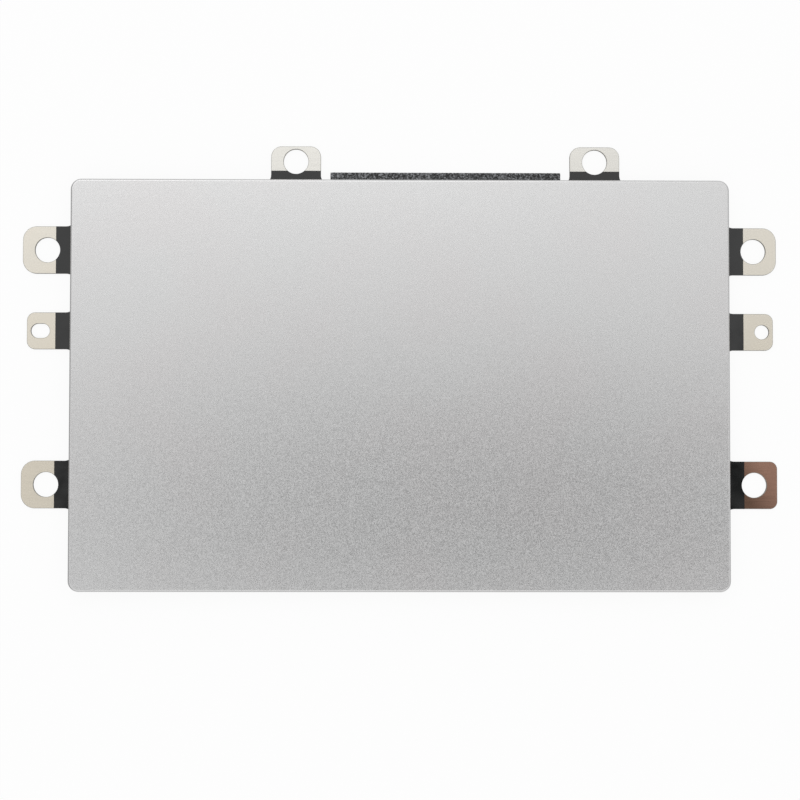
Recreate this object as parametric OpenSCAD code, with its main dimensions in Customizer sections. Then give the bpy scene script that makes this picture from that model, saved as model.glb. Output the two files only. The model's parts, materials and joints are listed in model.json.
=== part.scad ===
// Click trackpad module for a laptop palm rest, with its steel mounting bracket.
// Sizes are millimetres. X runs from left to right, Y from front to rear and Z up through the touch
// surface. The origin lies under the middle of the touch surface, on the bracket's underside.

/* [Touch surface] */
// Width of the touch surface
pad_w = 105; // [98:0.5:116]
// Depth of the touch surface, front to rear
pad_d = 65.6; // [63:0.2:74]
// Corner radius of the touch surface
pad_corner_r = 1.7; // [1:0.1:3]
// Thickness of the cover sheet
cover_t = 0.6; // [0.4:0.05:1.1]
// Chamfer along the cover's top edge
cover_chamfer = 0.12; // [0.05:0.01:0.25]
// Thickness of the adhesive under the cover
cover_adhesive_t = 0.1; // [0.05:0.01:0.2]
// Distance from the cover's edge to the adhesive's edge
cover_adhesive_inset = 0.35; // [0.2:0.05:1]

/* [Sensor board and stiffener] */
// Thickness of the sensor board
board_t = 0.8; // [0.7:0.05:1.2]
// Distance from the cover's edge to the board's edge
board_inset = 0.2; // [0.1:0.05:0.6]
// Thickness of the steel stiffener under the board
stiffener_t = 0.3; // [0.2:0.05:0.5]
// Distance from the cover's edge to the stiffener's edge
stiffener_inset = 0.8; // [0.4:0.1:2]
// Thickness of the adhesive between board and stiffener
stiffener_adhesive_t = 0.1; // [0.05:0.01:0.2]

/* [Bracket] */
// Sheet thickness of the mounting bracket
bracket_t = 0.5; // [0.4:0.05:0.8]
// Distance from the cover's edge to the bracket's plate edge
bracket_inset = 0.4; // [0.2:0.1:1]
// Corner radius of the bracket's plate
bracket_corner_r = 1.5; // [0.8:0.1:3]
// Free height between the bracket and the stiffener
click_gap = 0.85; // [0.8:0.05:1.3]
// Width of the bracket's side rails
rail_w = 6.1; // [4:0.1:10]
// Depth of the bracket's front rail
front_rail_d = 5.7; // [5:0.1:9]
// Width of the land in the middle that backs the switch
land_w = 16; // [10:0.5:24]
// Depth of each relief window
relief_d = 11.4; // [8:0.2:12]
// Depth of the rib between two rows of relief windows
rib_d = 4.6; // [3:0.2:6]
// Corner radius of all windows
window_r = 1.5; // [0.5:0.25:3]

/* [Screw ears] */
// Width of a screw ear on the left or right edge
side_ear_w = 7.6; // [6.5:0.1:9]
// Distance from the cover's side edge to the side screw holes
side_hole_reach = 4.1; // [3.4:0.1:6]
// Distance from a side screw hole's middle to the ear's tip
side_ear_tip = 3.95; // [3:0.05:5]
// Corner radius of a side ear's tip
side_ear_r = 2.2; // [0.5:0.1:3]
// Corner radius of the tip of the side ear at the front right, which is squarer
front_right_ear_r = 1.2; // [0.5:0.1:3]
// Place of the rear pair of side ears, from the middle to the rear
side_rear_y = 21.7; // [20:0.1:25]
// Place of the front pair of side ears, from the middle to the front
side_front_y = 15.9; // [12:0.1:24]
// Width of an ear on the rear edge
rear_ear_w = 8; // [6.5:0.1:9]
// Distance from the cover's rear edge to the rear screw holes
rear_hole_reach = 3.3; // [3:0.1:6]
// Distance from a rear screw hole's middle to the ear's tip
rear_ear_tip = 2.45; // [2.2:0.05:4]
// Corner radius of a rear ear's tip
rear_ear_r = 1.7; // [0.5:0.1:2]
// Distance between the two rear screw holes
rear_pair_pitch = 48.1; // [46:0.1:56]
// Place of the middle of the rear pair, to the right of the middle
rear_pair_x = 7.25; // [0:0.05:10]
// Diameter of the screw holes
screw_hole_d = 4; // [2.6:0.1:4.2]
// How much nearer to the tip the screw holes of the right ears lie than those of the left ears
right_hole_shift = 0.25; // [0:0.05:0.5]
// Fillet where an ear leaves the plate
ear_fillet_r = 1.5; // [0.4:0.1:1.8]

/* [Locating ears] */
// Width of a locating ear
locator_ear_w = 5.9; // [4.5:0.1:8]
// Distance from the cover's side edge to the locating hole
locator_reach = 5.7; // [4:0.05:7]
// Distance from the cover's side edge to the locating slot
slot_reach = 5.15; // [4:0.05:7]
// Distance from the middle of the locating hole, or of the slot's outer end, to the ear's tip
locator_tip = 1.8; // [1.7:0.05:3]
// Corner radius of a locating ear's tip
locator_ear_r = 1.3; // [0.4:0.1:2]
// Place of the locating ears, from the middle to the rear
locator_y = 8.7; // [6:0.1:11]
// Diameter of the locating hole and width of the locating slot
locator_d = 2.3; // [1.5:0.1:2.8]
// How much longer the locating slot is than it is wide
locator_slot_play = 0.7; // [0.3:0.1:1]

/* [Rear lip and black film] */
// Gap between the lip and each rear ear
lip_gap = 1.55; // [1.1:0.05:4]
// Distance from the cover's rear edge to the lip's edge
lip_reach = 1.5; // [0.8:0.1:3]
// Thickness of the black insulating film on the bracket
film_t = 0.08; // [0.05:0.01:0.15]
// Distance from the cover's side edge to the film's edge on an ear
film_side_reach = 2.75; // [1.5:0.05:3]
// Distance from the cover's rear edge to the film's edge on an ear
film_rear_reach = 1.8; // [1.6:0.05:2.6]
// Gap that the film keeps around the springs and the shim
film_gap = 0.25; // [0.1:0.05:0.4]
// How much wider the film's screw holes are, on the radius
film_hole_gap = 0.2; // [0.05:0.01:0.4]
// Depth of the woven tape on the lip
strip_d = 3; // [2:0.1:5]
// Thickness of the woven tape on the lip
strip_t = 0.2; // [0.1:0.05:0.3]

/* [Hinge springs] */
// Thickness of the leaf springs
spring_t = 0.15; // [0.1:0.01:0.2]
// Width of a leaf spring
spring_w = 16; // [14:0.5:18]
// Distance from the middle to a leaf spring's middle
spring_x = 36; // [33:0.5:40]
// Length of each flat foot of a leaf spring
spring_foot_l = 5.5; // [4:0.1:6]
// Length of the sloping part of a leaf spring
spring_web_l = 5; // [3:0.1:6]
// Width of the slot in the sloping part
spring_slot_w = 6; // [3:0.5:9]
// Distance from the cover's rear edge to the hinge line
hinge_setback = 10.8; // [10:0.1:13]
// Distance between the two fasteners in a foot
fastener_pitch = 10; // [7:0.5:12]
// Diameter of the rivets' shanks
rivet_d = 1.2; // [0.8:0.1:1.6]
// How far a rivet's head stands out around its shank
rivet_head_rim = 0.5; // [0.3:0.05:0.8]
// Height of the rivets' heads
rivet_head_h = 0.25; // [0.15:0.05:0.35]
// How far a rivet's countersunk tail stands out around its shank
rivet_tail_rim = 0.2; // [0.1:0.05:0.3]
// Thread diameter of the small screws
screw_d = 1.6; // [1.2:0.1:1.8]
// Diameter of the small screws' heads
screw_head_d = 2.7; // [2.3:0.1:3.2]
// Height of the small screws' heads
screw_head_h = 0.35; // [0.25:0.05:0.4]
// Length of the cross recess in a small screw's head
cross_l = 1.5; // [1:0.1:2]
// Width of the cross recess
cross_w = 0.35; // [0.25:0.05:0.5]
// Depth of the cross recess
cross_depth = 0.2; // [0.1:0.02:0.22]
// Wall of a nut's collar around the thread
nut_collar_wall = 0.35; // [0.25:0.05:0.5]
// How far a nut's flange stands out around its collar
nut_flange = 0.45; // [0.35:0.05:0.8]
// Height of the nuts' collars
nut_collar_h = 0.6; // [0.4:0.05:0.7]

/* [Click switch] */
// Travel of the pad at the switch
click_travel = 0.3; // [0.15:0.01:0.32]
// Distance from the cover's front edge to the switch's middle
switch_setback = 6.8; // [5.5:0.1:9]
// Wall of the switch housing around its cavity
switch_wall = 0.5; // [0.4:0.05:1]
// Height of the switch housing
switch_h = 0.65; // [0.65:0.01:0.7]
// Thickness of the switch housing's floor
switch_floor_t = 0.2; // [0.15:0.01:0.2]
// Thickness of the snap dome
dome_t = 0.06; // [0.04:0.01:0.08]
// Thickness of the switch's metal lid
lid_t = 0.12; // [0.08:0.01:0.15]
// Diameter of the plunger's stem
plunger_d = 2; // [1.5:0.1:2.4]
// How far the plunger's flange stands out around its stem
plunger_rim = 0.6; // [0.4:0.05:0.9]
// Space between the plunger's flange and the cavity's wall
plunger_gap = 0.5; // [0.3:0.05:0.7]
// Thickness of the plunger's flange
plunger_flange_t = 0.12; // [0.08:0.01:0.12]
// Diameter of the shim that the plunger presses on
shim_d = 4.4; // [3:0.1:6]
// Thickness of that shim
shim_t = 0.1; // [0.08:0.01:0.15]
// Length of a switch terminal
switch_terminal_l = 0.8; // [0.5:0.05:1.2]
// Width of a switch terminal
switch_terminal_w = 0.9; // [0.6:0.05:1.2]
// Distance between the two terminals on a side of the switch
switch_terminal_pitch = 3.1; // [2.5:0.1:4]
// Width of the claws that hold the lid
claw_w = 2.1; // [1.5:0.1:3]
// Height of those claws above the lid
claw_h = 0.45; // [0.3:0.05:0.6]
// Width of each rubber bumper on the front rail
bumper_w = 8; // [5:0.5:12]
// Depth of each rubber bumper
bumper_d = 2.6; // [2:0.1:3.5]
// Distance from the middle to a bumper's middle
bumper_x = 42; // [30:0.5:44]

/* [Cable connector] */
// Number of contacts
contact_count = 8; // [6:1:12]
// Distance between two contacts
contact_pitch = 0.5; // [0.5:0.05:0.6]
// Width of a contact
contact_w = 0.2; // [0.15:0.01:0.25]
// Thickness of a contact
contact_t = 0.1; // [0.08:0.01:0.12]
// Depth of the connector housing, front to rear
connector_d = 4; // [3.6:0.1:5]
// Height of the connector housing
connector_h = 1; // [0.95:0.01:1.05]
// Thickness of the housing's floor on the board
connector_floor_t = 0.3; // [0.2:0.01:0.32]
// Thickness of the housing's end walls
connector_wall = 0.9; // [0.7:0.05:1.3]
// Height of the slot for the flat cable
cable_slot_h = 0.42; // [0.36:0.01:0.44]
// Width of that slot past the outer contacts
cable_slot_margin = 0.75; // [0.5:0.05:1]
// Width of the latch's recess past the cable slot
latch_margin = 0.5; // [0.3:0.05:0.8]
// Distance from the housing's mouth to the contacts' tips
contact_setback = 0.4; // [0.2:0.05:0.8]
// Length of a contact's solder tail
contact_tail_l = 0.6; // [0.4:0.05:0.8]
// Thickness of the flip latch
latch_t = 0.5; // [0.4:0.01:0.52]
// Radius of the latch's pivot pins
latch_pin_r = 0.15; // [0.1:0.01:0.18]
// Length of each pivot pin
latch_pin_l = 0.45; // [0.3:0.05:0.6]
// Thickness of the metal anchors at the connector's ends
anchor_t = 0.15; // [0.1:0.01:0.2]
// Width of an anchor's foot on the board
anchor_foot_w = 0.8; // [0.5:0.05:1.2]
// Length of an anchor along the connector's end
anchor_d = 1.6; // [1:0.1:2]
// Height of an anchor
anchor_h = 0.6; // [0.4:0.05:0.8]

/* [Board parts] */
// Distance from the cover's rear edge to the middle of the parts bay
bay_setback = 20.8; // [19:0.1:23]
// Width and depth of the touch controller
controller_w = 6; // [5:0.1:7]
// Height of the touch controller
controller_h = 0.85; // [0.5:0.05:0.9]
// Width and depth of the memory chip's body
memory_w = 3; // [2.5:0.1:3.5]
// Width of the regulator's body
regulator_w = 2.9; // [2.5:0.1:3.2]
// Depth of the regulator's body
regulator_d = 1.6; // [1.3:0.1:1.8]
// Width of the surge suppressor's body
suppressor_w = 2; // [1.6:0.1:2.4]
// Depth of the surge suppressor's body
suppressor_d = 1.25; // [1:0.05:1.5]
// Height of the leaded chips' bodies
package_h = 0.8; // [0.6:0.05:0.85]
// Space between the leaded chips' bodies and the board
standoff = 0.1; // [0.05:0.01:0.12]
// Reach of a chip's leads past its body
lead_reach = 0.6; // [0.5:0.05:0.9]
// Reach of a lead where it bends to the board
lead_knee = 0.27; // [0.22:0.01:0.4]
// Width of a chip's leads
lead_w = 0.32; // [0.25:0.01:0.4]
// Thickness of a chip's leads
lead_t = 0.14; // [0.1:0.01:0.2]
// Length of the chip capacitors and resistors
passive_l = 1; // [0.8:0.1:1.2]
// Length of a metal cap on their ends
passive_cap_l = 0.26; // [0.15:0.01:0.35]
// How far those caps stand out
passive_step = 0.02; // [0.01:0.01:0.04]
// Width of the chip capacitors and resistors
passive_w = 0.5; // [0.4:0.05:0.6]
// Height of the chip capacitors
capacitor_h = 0.5; // [0.4:0.05:0.6]
// Height of the chip resistors
resistor_h = 0.35; // [0.25:0.05:0.5]
// Space between neighbouring parts on the board
part_gap = 0.9; // [0.6:0.1:1.2]
// Radius of the pin mark on a chip
pin_mark_r = 0.2; // [0.1:0.05:0.35]
// Depth of the pin mark
pin_mark_depth = 0.05; // [0.02:0.01:0.1]
// Distance from a chip's edges to the pin mark's middle
pin_mark_inset = 0.5; // [0.4:0.05:0.8]
// Space between the bay's edge and the nearest part
bay_margin = 0.8; // [0.5:0.1:1.5]

/* [Clearances] */
// Radial clearance of rivets, screws and nut collars in their holes
fastener_clearance = 0.1; // [0.05:0.01:0.2]
// Radial clearance between a screw's thread and its nut
thread_clearance = 0.02; // [0.01:0.01:0.04]
// Clearance around a screw head in the bracket's access hole
access_clearance = 0.5; // [0.3:0.05:0.8]
// Clearance of the plunger in the lid and of the dome in its cavity
switch_clearance = 0.1; // [0.05:0.01:0.12]
// Free play between dome and plunger
dome_play = 0.03; // [0.01:0.01:0.04]
// Free play between plunger and shim
plunger_play = 0.05; // [0.02:0.01:0.08]
// Room left under the pad when it is fully pressed
bumper_play = 0.03; // [0.02:0.01:0.06]
// Space around the closed latch in its recess
latch_gap = 0.05; // [0.03:0.01:0.08]
// Running clearance of the latch's pins and ends
latch_clearance = 0.03; // [0.02:0.01:0.05]
// Space between a rivet's tail and the bracket's underside
rivet_recess = 0.02; // [0.01:0.01:0.05]
// Space between the stiffener and the pieces in its windows
window_clearance = 0.6; // [0.3:0.05:1]

/* [Hidden] */
$fn = 48;
// Overlap of shapes that are fused, and overrun of cuts
eps = 0.05;

// Levels, from the bracket's underside up
film_z = bracket_t;
tape_z = film_z + film_t;
stiffener_z = bracket_t + click_gap;
stiffener_adhesive_z = stiffener_z + stiffener_t;
board_z = stiffener_adhesive_z + stiffener_adhesive_t;
cover_adhesive_z = board_z + board_t;
cover_z = cover_adhesive_z + cover_adhesive_t;

// Edges of the touch surface and of the bracket's plate
side_x = pad_w / 2;
rear_y = pad_d / 2;
plate_x = side_x - bracket_inset;
plate_y = rear_y - bracket_inset;

// Middles of the ears' holes
side_hole_x = side_x + side_hole_reach;
side_hole_ys = [side_rear_y, -side_front_y];
rear_hole_y = rear_y + rear_hole_reach;
rear_hole_xs = [rear_pair_x - rear_pair_pitch / 2, rear_pair_x + rear_pair_pitch / 2];
locator_x = side_x + locator_reach;
slot_x = side_x + slot_reach;
slot_end_x = slot_x + locator_slot_play / 2;
lip_l = rear_pair_pitch - rear_ear_w - 2 * lip_gap;

// Relief windows in the bracket, in two rows on each side of the land
relief_w = plate_x - rail_w - land_w / 2;
relief_x = land_w / 2 + relief_w / 2;
relief_front_y = -plate_y + front_rail_d + relief_d / 2;
relief_ys = [relief_front_y, relief_front_y + relief_d + rib_d];

// Hinge line and fasteners of the leaf springs
hinge_y = rear_y - hinge_setback;
spring_rear_y = hinge_y + spring_web_l / 2;
spring_front_y = hinge_y - spring_web_l / 2;
rivet_y = spring_rear_y + spring_foot_l / 2;
screw_y = spring_front_y - spring_foot_l / 2;
fastener_xs = [
    for (side = [-1, 1], end = [-1, 1])
        side * spring_x + end * fastener_pitch / 2
];
nut_collar_d = screw_d + 2 * nut_collar_wall;
nut_d = nut_collar_d + 2 * nut_flange;
rivet_hole_r = rivet_d / 2 + fastener_clearance;
screw_hole_r = screw_d / 2 + fastener_clearance;
nut_hole_r = nut_d / 2 + fastener_clearance;
collar_hole_r = nut_collar_d / 2 + fastener_clearance;
access_hole_r = screw_head_d / 2 + access_clearance;
// Countersunk tail of a rivet, in the lower half of the bracket
rivet_tail_h = bracket_t / 2;
rivet_tail_r = rivet_d / 2 + rivet_tail_rim;
rivet_head_r = rivet_d / 2 + rivet_head_rim;

// Click switch, which hangs from the board with its plunger down
switch_y = -rear_y + switch_setback;
plunger_flange_d = plunger_d + 2 * plunger_rim;
switch_cavity_d = plunger_flange_d + 2 * plunger_gap;
switch_w = switch_cavity_d + 2 * switch_wall;
dome_d = switch_cavity_d - 2 * switch_clearance;
switch_z = board_z - switch_h;
lid_z = switch_z - lid_t;
dome_z = board_z - switch_floor_t;
dome_h = switch_h - switch_floor_t - plunger_flange_t - dome_play;
dome_r = (pow(dome_d / 2, 2) + pow(dome_h, 2)) / (2 * dome_h);
lid_hole_r = plunger_d / 2 + switch_clearance;
plunger_tip_z = bracket_t + shim_t + plunger_play;
switch_window_w = switch_w + 2 * (switch_terminal_l + window_clearance);
switch_window_d = switch_w + 2 * (lid_t + window_clearance);

// Bumpers end just below the pad's lowest place over them
bumper_y = -plate_y + front_rail_d / 2;
bumper_drop = click_travel * (hinge_y - bumper_y + bumper_d / 2) / (hinge_y - switch_y);
bumper_z = film_z + film_t;
bumper_h = stiffener_z - bumper_drop - bumper_play - bumper_z;

// Cable connector, in line with the rear lip, with its slot to the rear
connector_x = rear_pair_x;
bay_y = rear_y - bay_setback;
cable_slot_w = (contact_count - 1) * contact_pitch + 2 * cable_slot_margin;
latch_recess_w = cable_slot_w + 2 * latch_margin;
connector_w = latch_recess_w + 2 * connector_wall;
connector_half_w = connector_w / 2 + anchor_foot_w;
latch_z = board_z - connector_floor_t - contact_t - latch_gap - latch_t / 2;
latch_y = bay_y - latch_gap - latch_t / 2;
latch_l = connector_d / 2 - latch_t / 2 - 2 * latch_gap;
latch_w = latch_recess_w - 2 * latch_clearance;

// Board parts, from the connector to the left
suppressor_x = connector_x - connector_half_w - part_gap - suppressor_w / 2;
controller_x = suppressor_x - suppressor_w / 2 - part_gap - passive_l - part_gap - controller_w / 2;
memory_x = controller_x - controller_w / 2 - 2 * part_gap - passive_w - memory_w / 2;
// Depth of a column that stacks the memory chip over the regulator, and of the controller's column
left_column_d = memory_w + regulator_d + 4 * lead_reach + part_gap;
controller_column_d = controller_w + 2 * (part_gap + passive_l);
bay_d = max(left_column_d, controller_column_d) + 2 * bay_margin;
bay_left = memory_x - max(memory_w, regulator_w) / 2 - bay_margin;
bay_right = connector_x + connector_half_w + bay_margin;
memory_y = bay_y + left_column_d / 2 - lead_reach - memory_w / 2;
regulator_y = bay_y - left_column_d / 2 + lead_reach + regulator_d / 2;

// Capacitors around the controller: two rows and a column on its left, each [x, y, turn]
capacitor_row_y = controller_w / 2 + part_gap + passive_l / 2;
capacitor_column_x = controller_x - controller_w / 2 - part_gap - passive_w / 2;
capacitor_pitch = passive_w + part_gap;
capacitor_places = concat(
    [for (side = [-1, 1], i = [-1.5 : 1.5])
        [controller_x + i * capacitor_pitch, bay_y + side * capacitor_row_y, 90]],
    [for (i = [-1 : 1])
        [capacitor_column_x, bay_y + i * (passive_l + part_gap), 90]]
);
// Resistors in a column beside the controller and in rows over and under the suppressor
resistor_column_x = controller_x + controller_w / 2 + part_gap + passive_l / 2;
resistor_pitch = passive_w + part_gap / 2;
resistor_places = concat(
    [for (i = [-2 : 2])
        [resistor_column_x, bay_y + i * resistor_pitch, 0]],
    [for (side = [-1, 1], i = [0, 1])
        [suppressor_x, bay_y + side * (suppressor_d / 2 + lead_reach + part_gap + i * resistor_pitch), 0]]
);

// Flat shapes

module rounded_rect(w, d, r) {
    square([w - 2 * r, d], center = true);
    square([w, d - 2 * r], center = true);
    for (x = [-1, 1], y = [-1, 1])
        translate([x * (w / 2 - r), y * (d / 2 - r)])
            circle(r);
}

module pad_outline(inset) {
    rounded_rect(pad_w - 2 * inset, pad_d - 2 * inset, max(pad_corner_r - inset, 0.2));
}

// Ear that leaves a plate edge on the Y axis and points along X
module ear(w, reach, r) {
    translate([-eps, -w / 2])
        square([reach - r + eps, w]);
    translate([-eps, -w / 2 + r])
        square([reach + eps, w - 2 * r]);
    for (side = [-1, 1])
        translate([reach - r, side * (w / 2 - r)])
            circle(r);
    for (side = [0, 1])
        mirror([0, side])
            translate([0, w / 2])
                ear_fillet();
}

module ear_fillet() {
    difference() {
        translate([-eps, -eps])
            square(ear_fillet_r + eps);
        translate([ear_fillet_r, ear_fillet_r])
            circle(ear_fillet_r);
    }
}

module bracket_outline() {
    rounded_rect(2 * plate_x, 2 * plate_y, bracket_corner_r);
    for (side = [0, 1])
        mirror([side, 0]) {
            for (y = side_hole_ys)
                translate([plate_x, y])
                    ear(
                        side_ear_w, side_hole_x + side_ear_tip - plate_x,
                        side == 0 && y < 0 ? front_right_ear_r : side_ear_r
                    );
            translate([plate_x, locator_y])
                ear(locator_ear_w, (side == 0 ? locator_x : slot_end_x) + locator_tip - plate_x, locator_ear_r);
        }
    for (x = rear_hole_xs)
        translate([x, plate_y])
            rotate(90)
                ear(rear_ear_w, rear_hole_y + rear_ear_tip - plate_y, rear_ear_r);
    translate([rear_pair_x - lip_l / 2, plate_y - eps])
        square([lip_l, rear_y + lip_reach - plate_y + eps]);
}

module bay_window() {
    translate([(bay_left + bay_right) / 2, bay_y])
        rounded_rect(bay_right - bay_left, bay_d, window_r);
}

module bracket_windows() {
    bay_window();
    for (side = [-1, 1], y = relief_ys)
        translate([side * relief_x, y])
            rounded_rect(relief_w, relief_d, window_r);
    for (x = fastener_xs)
        translate([x, screw_y])
            circle(access_hole_r);
}

module ear_holes(clearance) {
    for (side = [-1, 1], y = side_hole_ys)
        translate([side > 0 ? side_hole_x + right_hole_shift : -side_hole_x, y])
            circle(screw_hole_d / 2 + clearance);
    for (x = rear_hole_xs)
        translate([x, rear_hole_y])
            circle(screw_hole_d / 2 + clearance);
}

module locating_holes() {
    translate([locator_x, locator_y])
        circle(locator_d / 2);
    translate([-slot_x, locator_y]) {
        square([locator_slot_play, locator_d], center = true);
        for (end = [-1, 1])
            translate([end * (slot_end_x - slot_x), 0])
                circle(locator_d / 2);
    }
}

module fastener_holes(y, r) {
    for (x = fastener_xs)
        translate([x, y])
            circle(r);
}

module stiffener_outline(inset) {
    difference() {
        pad_outline(inset);
        bay_window();
        translate([0, switch_y])
            rounded_rect(switch_window_w, switch_window_d, window_r / 2);
        fastener_holes(screw_y, nut_hole_r);
    }
}

// Plate with rounded corners and a chamfered top edge
module chamfered_plate(w, d, r, t, c) {
    for (turn = [0, 1]) {
        span = turn == 0 ? d : w;
        run = (turn == 0 ? w : d) - 2 * r;
        rotate(turn * 90)
            translate([-run / 2, 0, 0])
                rotate([90, 0, 90])
                    linear_extrude(run)
                        polygon([
                            [-span / 2, 0], [span / 2, 0], [span / 2, t - c],
                            [span / 2 - c, t], [-span / 2 + c, t], [-span / 2, t - c]
                        ]);
    }
    for (x = [-1, 1], y = [-1, 1])
        translate([x * (w / 2 - r), y * (d / 2 - r), 0]) {
            cylinder(r = r, h = t - c);
            translate([0, 0, t - c])
                cylinder(r1 = r, r2 = r - c, h = c);
        }
}

// Box under the board, with its top on the board
module board_box(w, d, h) {
    translate([-w / 2, -d / 2, -h])
        cube([w, d, h]);
}

// Chip capacitor or resistor with a metal cap on each end
module passive(h) {
    board_box(passive_l - 2 * passive_step, passive_w - 2 * passive_step, h - passive_step);
    for (end = [-1, 1])
        translate([end * (passive_l - passive_cap_l) / 2, 0, 0])
            board_box(passive_cap_l, passive_w, h);
}

// Row of gull-wing leads along a chip's rear side
module gull_leads(body_d, count, pitch) {
    shoulder_z = -standoff - package_h / 2;
    for (i = [0 : count - 1])
        translate([(i - (count - 1) / 2) * pitch - lead_w / 2, body_d / 2, 0])
            rotate([90, 0, 90])
                linear_extrude(lead_w)
                    polygon([
                        [-eps, shoulder_z], [lead_knee, shoulder_z], [lead_knee, -lead_t],
                        [lead_reach, -lead_t], [lead_reach, 0], [lead_knee - lead_t, 0],
                        [lead_knee - lead_t, shoulder_z + lead_t], [-eps, shoulder_z + lead_t]
                    ]);
}

// Chip body with a pin mark in its lower face
module marked_body(w, d, h) {
    difference() {
        board_box(w, d, h);
        translate([-w / 2 + pin_mark_inset, d / 2 - pin_mark_inset, -h - eps])
            cylinder(r = pin_mark_r, h = pin_mark_depth + eps);
    }
}

// Leaded chip that hangs from the board
module leaded_chip(w, d, rear_leads, front_leads, rear_pitch, front_pitch) {
    translate([0, 0, -standoff])
        marked_body(w, d, package_h);
    gull_leads(d, rear_leads, rear_pitch);
    rotate(180)
        gull_leads(d, front_leads, front_pitch);
}

// Pieces of the bracket

module mounting_bracket() {
    color("#d2cfc6")
        difference() {
            linear_extrude(bracket_t)
                difference() {
                    bracket_outline();
                    bracket_windows();
                    ear_holes(0);
                    locating_holes();
                    fastener_holes(rivet_y, rivet_hole_r);
                }
            for (x = fastener_xs)
                translate([x, rivet_y, -eps])
                    cylinder(
                        r1 = rivet_tail_r + fastener_clearance, r2 = rivet_hole_r,
                        h = rivet_tail_h + eps
                    );
        }
}

module insulating_film() {
    color("#262626")
        translate([0, 0, film_z])
            linear_extrude(film_t)
                difference() {
                    intersection() {
                        bracket_outline();
                        translate([-side_x - film_side_reach, -rear_y])
                            square([pad_w + 2 * film_side_reach, pad_d + film_rear_reach]);
                    }
                    bracket_windows();
                    ear_holes(film_hole_gap);
                    for (side = [-1, 1])
                        translate([side * spring_x - spring_w / 2 - film_gap, hinge_y])
                            square([
                                spring_w + 2 * film_gap,
                                spring_rear_y + spring_foot_l + film_gap - hinge_y
                            ]);
                    translate([0, switch_y])
                        circle(shim_d / 2 + film_gap);
                }
}

module rear_tape() {
    color("#1d1d1d")
        translate([rear_pair_x - lip_l / 2, rear_y + lip_reach - strip_d, tape_z])
            cube([lip_l, strip_d, strip_t]);
}

module hinge_spring(side) {
    upper_z = stiffener_z - spring_t;
    rear_end = spring_rear_y + spring_foot_l;
    front_end = spring_front_y - spring_foot_l;
    color("#b9bbbd")
        difference() {
            translate([side * spring_x - spring_w / 2, 0, 0])
                rotate([90, 0, 90])
                    linear_extrude(spring_w)
                        polygon([
                            [rear_end, bracket_t], [spring_rear_y, bracket_t],
                            [spring_front_y, upper_z], [front_end, upper_z],
                            [front_end, stiffener_z], [spring_front_y, stiffener_z],
                            [spring_rear_y, bracket_t + spring_t], [rear_end, bracket_t + spring_t]
                        ]);
            translate([side * spring_x - spring_slot_w / 2, spring_front_y, 0])
                cube([spring_slot_w, spring_web_l, stiffener_z + eps]);
            for (x = fastener_xs) {
                translate([x, rivet_y, 0])
                    cylinder(r = rivet_hole_r, h = stiffener_z + eps);
                translate([x, screw_y, 0])
                    cylinder(r = screw_hole_r, h = stiffener_z + eps);
            }
        }
}

module hinge_spring_left() {
    hinge_spring(-1);
}

module hinge_spring_right() {
    hinge_spring(1);
}

module spring_rivets() {
    seat_z = bracket_t + spring_t;
    color("#a9abad")
        for (x = fastener_xs)
            translate([x, rivet_y, 0]) {
                translate([0, 0, rivet_recess])
                    cylinder(r1 = rivet_tail_r, r2 = rivet_d / 2, h = rivet_tail_h - rivet_recess);
                translate([0, 0, rivet_recess])
                    cylinder(r = rivet_d / 2, h = seat_z - rivet_recess + eps);
                translate([0, 0, seat_z])
                    cylinder(r1 = rivet_head_r, r2 = rivet_head_r - rivet_head_h / 2, h = rivet_head_h);
            }
}

module click_shim() {
    color("#c3a25a")
        translate([0, switch_y, bracket_t])
            cylinder(r = shim_d / 2, h = shim_t);
}

module front_bumpers() {
    color("#2a2a2c")
        for (side = [-1, 1])
            translate([side * bumper_x - bumper_w / 2, bumper_y - bumper_d / 2, bumper_z])
                cube([bumper_w, bumper_d, bumper_h]);
}

// Pieces of the pad

module touch_cover() {
    color("#c3c3c4")
        translate([0, 0, cover_z])
            chamfered_plate(pad_w, pad_d, pad_corner_r, cover_t, cover_chamfer);
}

module cover_adhesive() {
    color("#e4e2dc")
        translate([0, 0, cover_adhesive_z])
            linear_extrude(cover_adhesive_t)
                pad_outline(cover_adhesive_inset);
}

module sensor_board() {
    color("#17201c")
        translate([0, 0, board_z])
            linear_extrude(board_t)
                difference() {
                    pad_outline(board_inset);
                    fastener_holes(screw_y, collar_hole_r);
                }
}

module stiffener_adhesive() {
    color("#dad8d0")
        translate([0, 0, stiffener_adhesive_z])
            linear_extrude(stiffener_adhesive_t)
                stiffener_outline(stiffener_inset);
}

module stiffener_plate() {
    color("#b4b5b6")
        translate([0, 0, stiffener_z])
            linear_extrude(stiffener_t)
                stiffener_outline(stiffener_inset);
}

module spring_nuts() {
    color("#cfc08a")
        for (x = fastener_xs)
            translate([x, screw_y, stiffener_z])
                difference() {
                    union() {
                        cylinder(r = nut_d / 2, h = board_z - stiffener_z);
                        cylinder(r = nut_collar_d / 2, h = board_z - stiffener_z + nut_collar_h);
                    }
                    translate([0, 0, -eps])
                        cylinder(r = screw_d / 2 + thread_clearance, h = board_z + nut_collar_h);
                }
}

module spring_screws() {
    seat_z = stiffener_z - spring_t;
    color("#8f9193")
        for (x = fastener_xs)
            translate([x, screw_y, seat_z])
                difference() {
                    union() {
                        cylinder(r = screw_d / 2, h = board_z + nut_collar_h - seat_z);
                        translate([0, 0, -screw_head_h])
                            cylinder(r = screw_head_d / 2, h = screw_head_h);
                    }
                    for (turn = [0, 90])
                        rotate(turn)
                            translate([-cross_l / 2, -cross_w / 2, -screw_head_h - eps])
                                cube([cross_l, cross_w, cross_depth + eps]);
                }
}

module touch_controller() {
    color("#202124")
        translate([controller_x, bay_y, board_z])
            marked_body(controller_w, controller_w, controller_h);
}

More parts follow.
